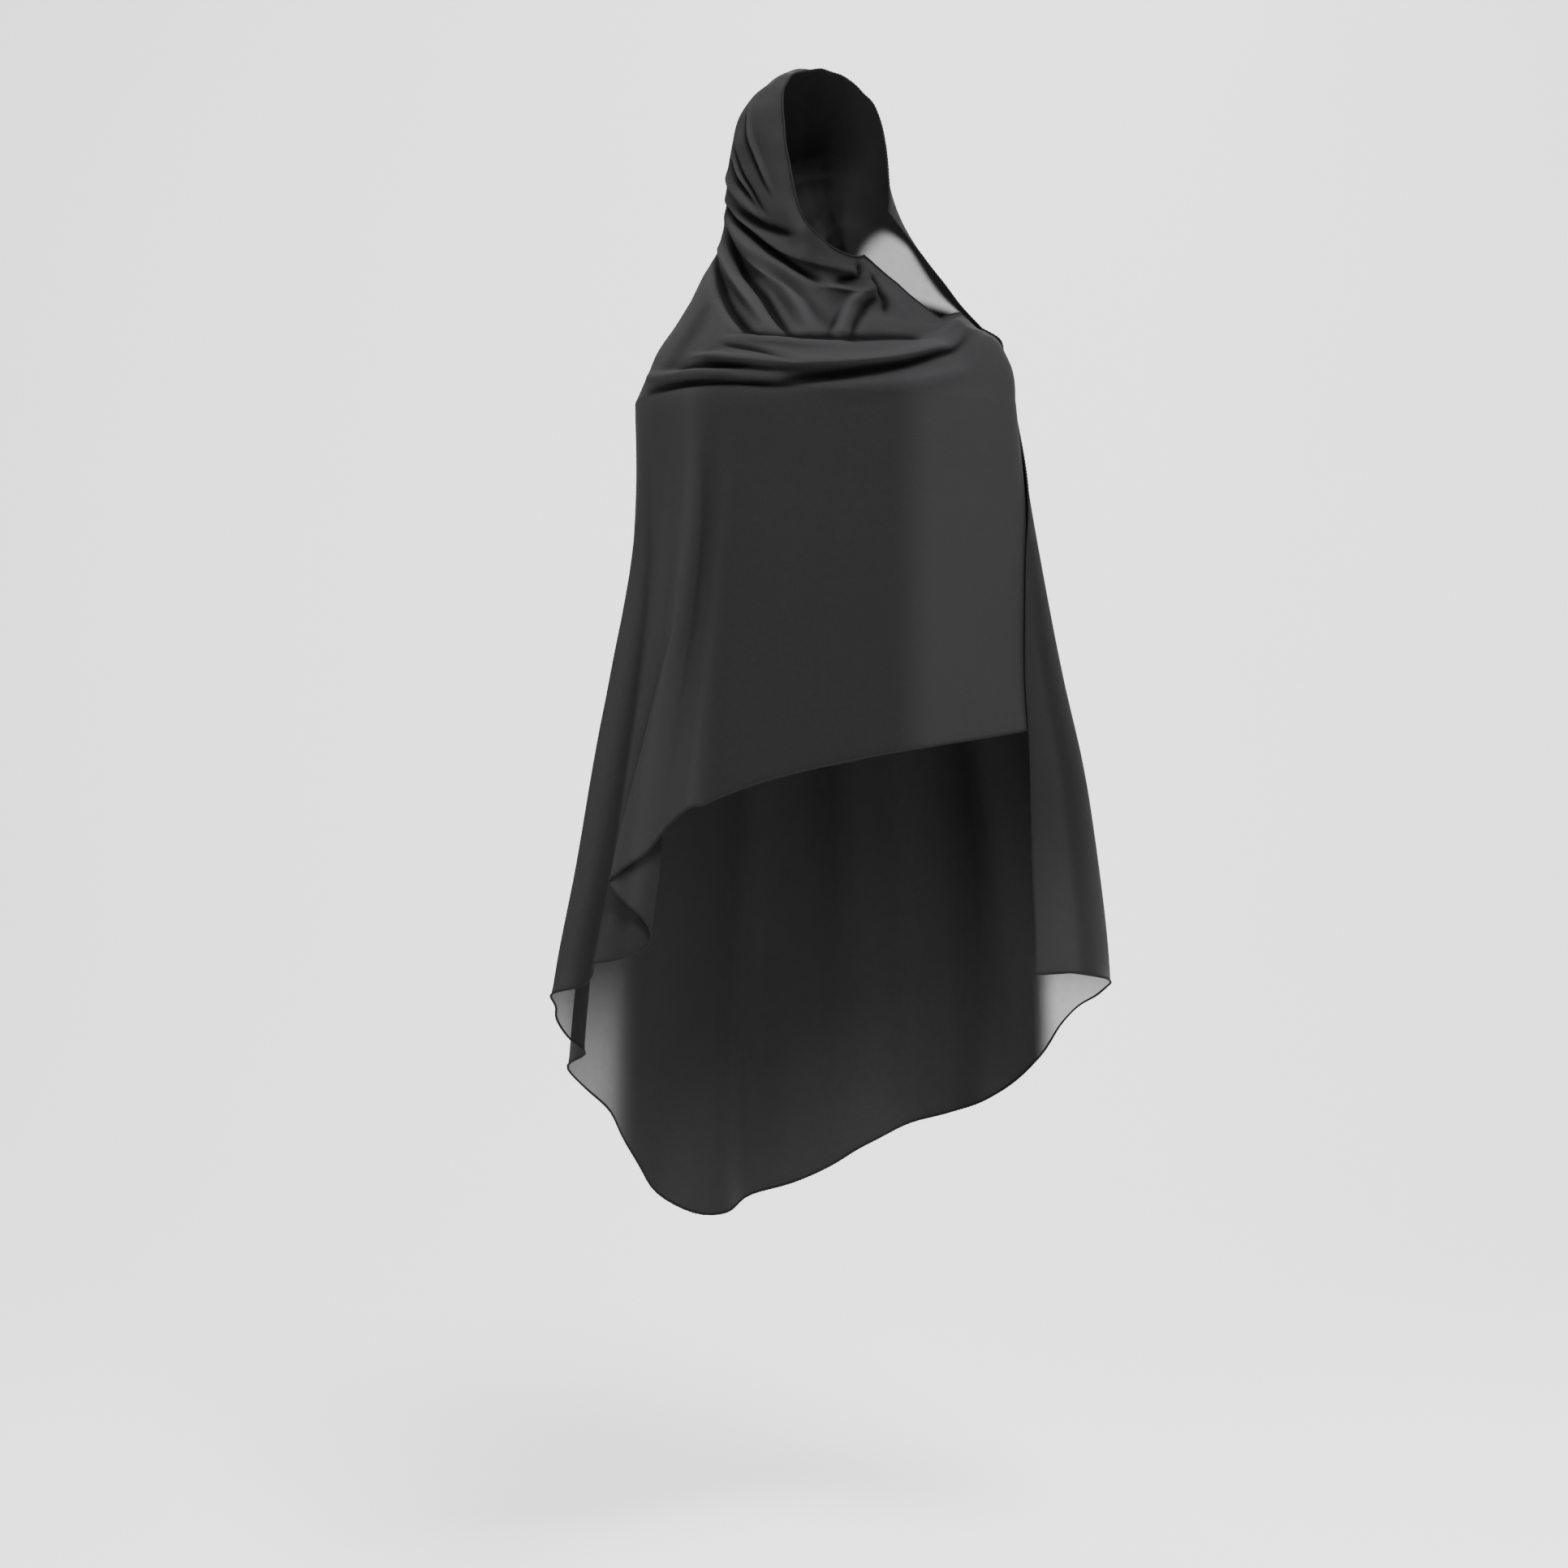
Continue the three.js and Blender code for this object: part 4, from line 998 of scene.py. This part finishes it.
shawl.data.materials.append(chiffonPaint())
hems = makeHems(shawlGrid, threadyPaint("rolledChiffon", hemLook), threadyPaint("stitchThread", stitchLook))
print("finishes made")

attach(shawl, "root")
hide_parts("shawl")
for node, hem in hems:
    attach(hem, "root")
    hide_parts(node)

pin = bpy.data.objects["wrap_pin"]
pin.data.materials.clear()
pin.data.materials.append(steelPaint())
print("pieces on the frame")


# Floor, backdrop and light
studio = dict(
    floor=-1.78, front=4.5, wall=3.2, bend=1.2, steps=16, high=6.5, side=6.5, colour=(0.9, 0.9, 0.9),
    mottle=0.98, mottleScale=1.5, roughness=0.95, specular=0.1, glow=0.4, sky=0.6, lampAim=(0, 0, -0.6),
)
lamps = dict(
    key=dict(at=(-0.5, -2.3, 2.3), size=(1.2, 1.2), power=300),
    right=dict(at=(-3.0, -1.6, 0.6), size=(1.4, 2.2), power=84),
    left=dict(at=(2.8, -2.4, 0.9), size=(1.4, 2.2), power=58),
    top=dict(at=(0.2, 0.5, 2.4), size=(2.4, 2.4), power=60),
    behind=dict(at=(2.2, 2.4, 1.9), size=(1.2, 1.2), power=130),
)


# Floor and backdrop in one sweep, square to the camera
def makeBackdrop(s):
    turn = math.radians(view["turn"])
    away = Vector((-math.sin(turn), math.cos(turn), 0))
    side = Vector((math.cos(turn), math.sin(turn), 0))
    profile = [(-s["front"], s["floor"])]
    for i in range(s["steps"] + 1):
        bend = math.pi / 2 * i / s["steps"]
        far = s["wall"] - s["bend"] + s["bend"] * math.sin(bend)
        profile.append((far, s["floor"] + s["bend"] * (1 - math.cos(bend))))
    profile.append((s["wall"], s["floor"] + s["high"]))
    points = []
    for far, height in profile:
        for across in (-s["side"], s["side"]):
            spot = away * far + side * across
            points.append((spot.x, spot.y, height))
    faces = [(2 * i, 2 * i + 1, 2 * i + 3, 2 * i + 2) for i in range(len(profile) - 1)]
    mesh = bpy.data.meshes.new("backdrop")
    mesh.from_pydata(points, [], faces)
    finishMesh(mesh)
    backdrop = bpy.data.objects.new("backdrop", mesh)
    scene.collection.objects.link(backdrop)
    paint, board = newMaterial("backdropPaper")
    place = board.node("ShaderNodeTexCoord").outputs["Object"]
    cloudy = noise(board, place, s["mottleScale"])
    base = blendColours(board, cloudy, colour([c * s["mottle"] for c in s["colour"]]), colour(s["colour"]))
    closePaint(board, {
        "Base Color": base, "Roughness": s["roughness"], "Specular IOR Level": s["specular"],
        "Emission Color": base, "Emission Strength": s["glow"],
    })
    mesh.materials.append(paint)


def makeLamps():
    aim = Vector(studio["lampAim"])
    for name, lamp in lamps.items():
        data = bpy.data.lights.new(name + "Softbox", "AREA")
        data.shape = "RECTANGLE"
        data.size, data.size_y = lamp["size"]
        data.energy = lamp["power"]
        light = bpy.data.objects.new(name + "Softbox", data)
        light.location = lamp["at"]
        light.rotation_euler = (aim - light.location).to_track_quat("-Z", "Y").to_euler()
        scene.collection.objects.link(light)
    world = bpy.data.worlds.new("studio")
    world.use_nodes = True
    sky = world.node_tree.nodes["Background"]
    sky.inputs["Color"].default_value = (1, 1, 1, 1)
    sky.inputs["Strength"].default_value = studio["sky"]
    scene.world = world


makeBackdrop(studio)
makeLamps()
print("studio lit")
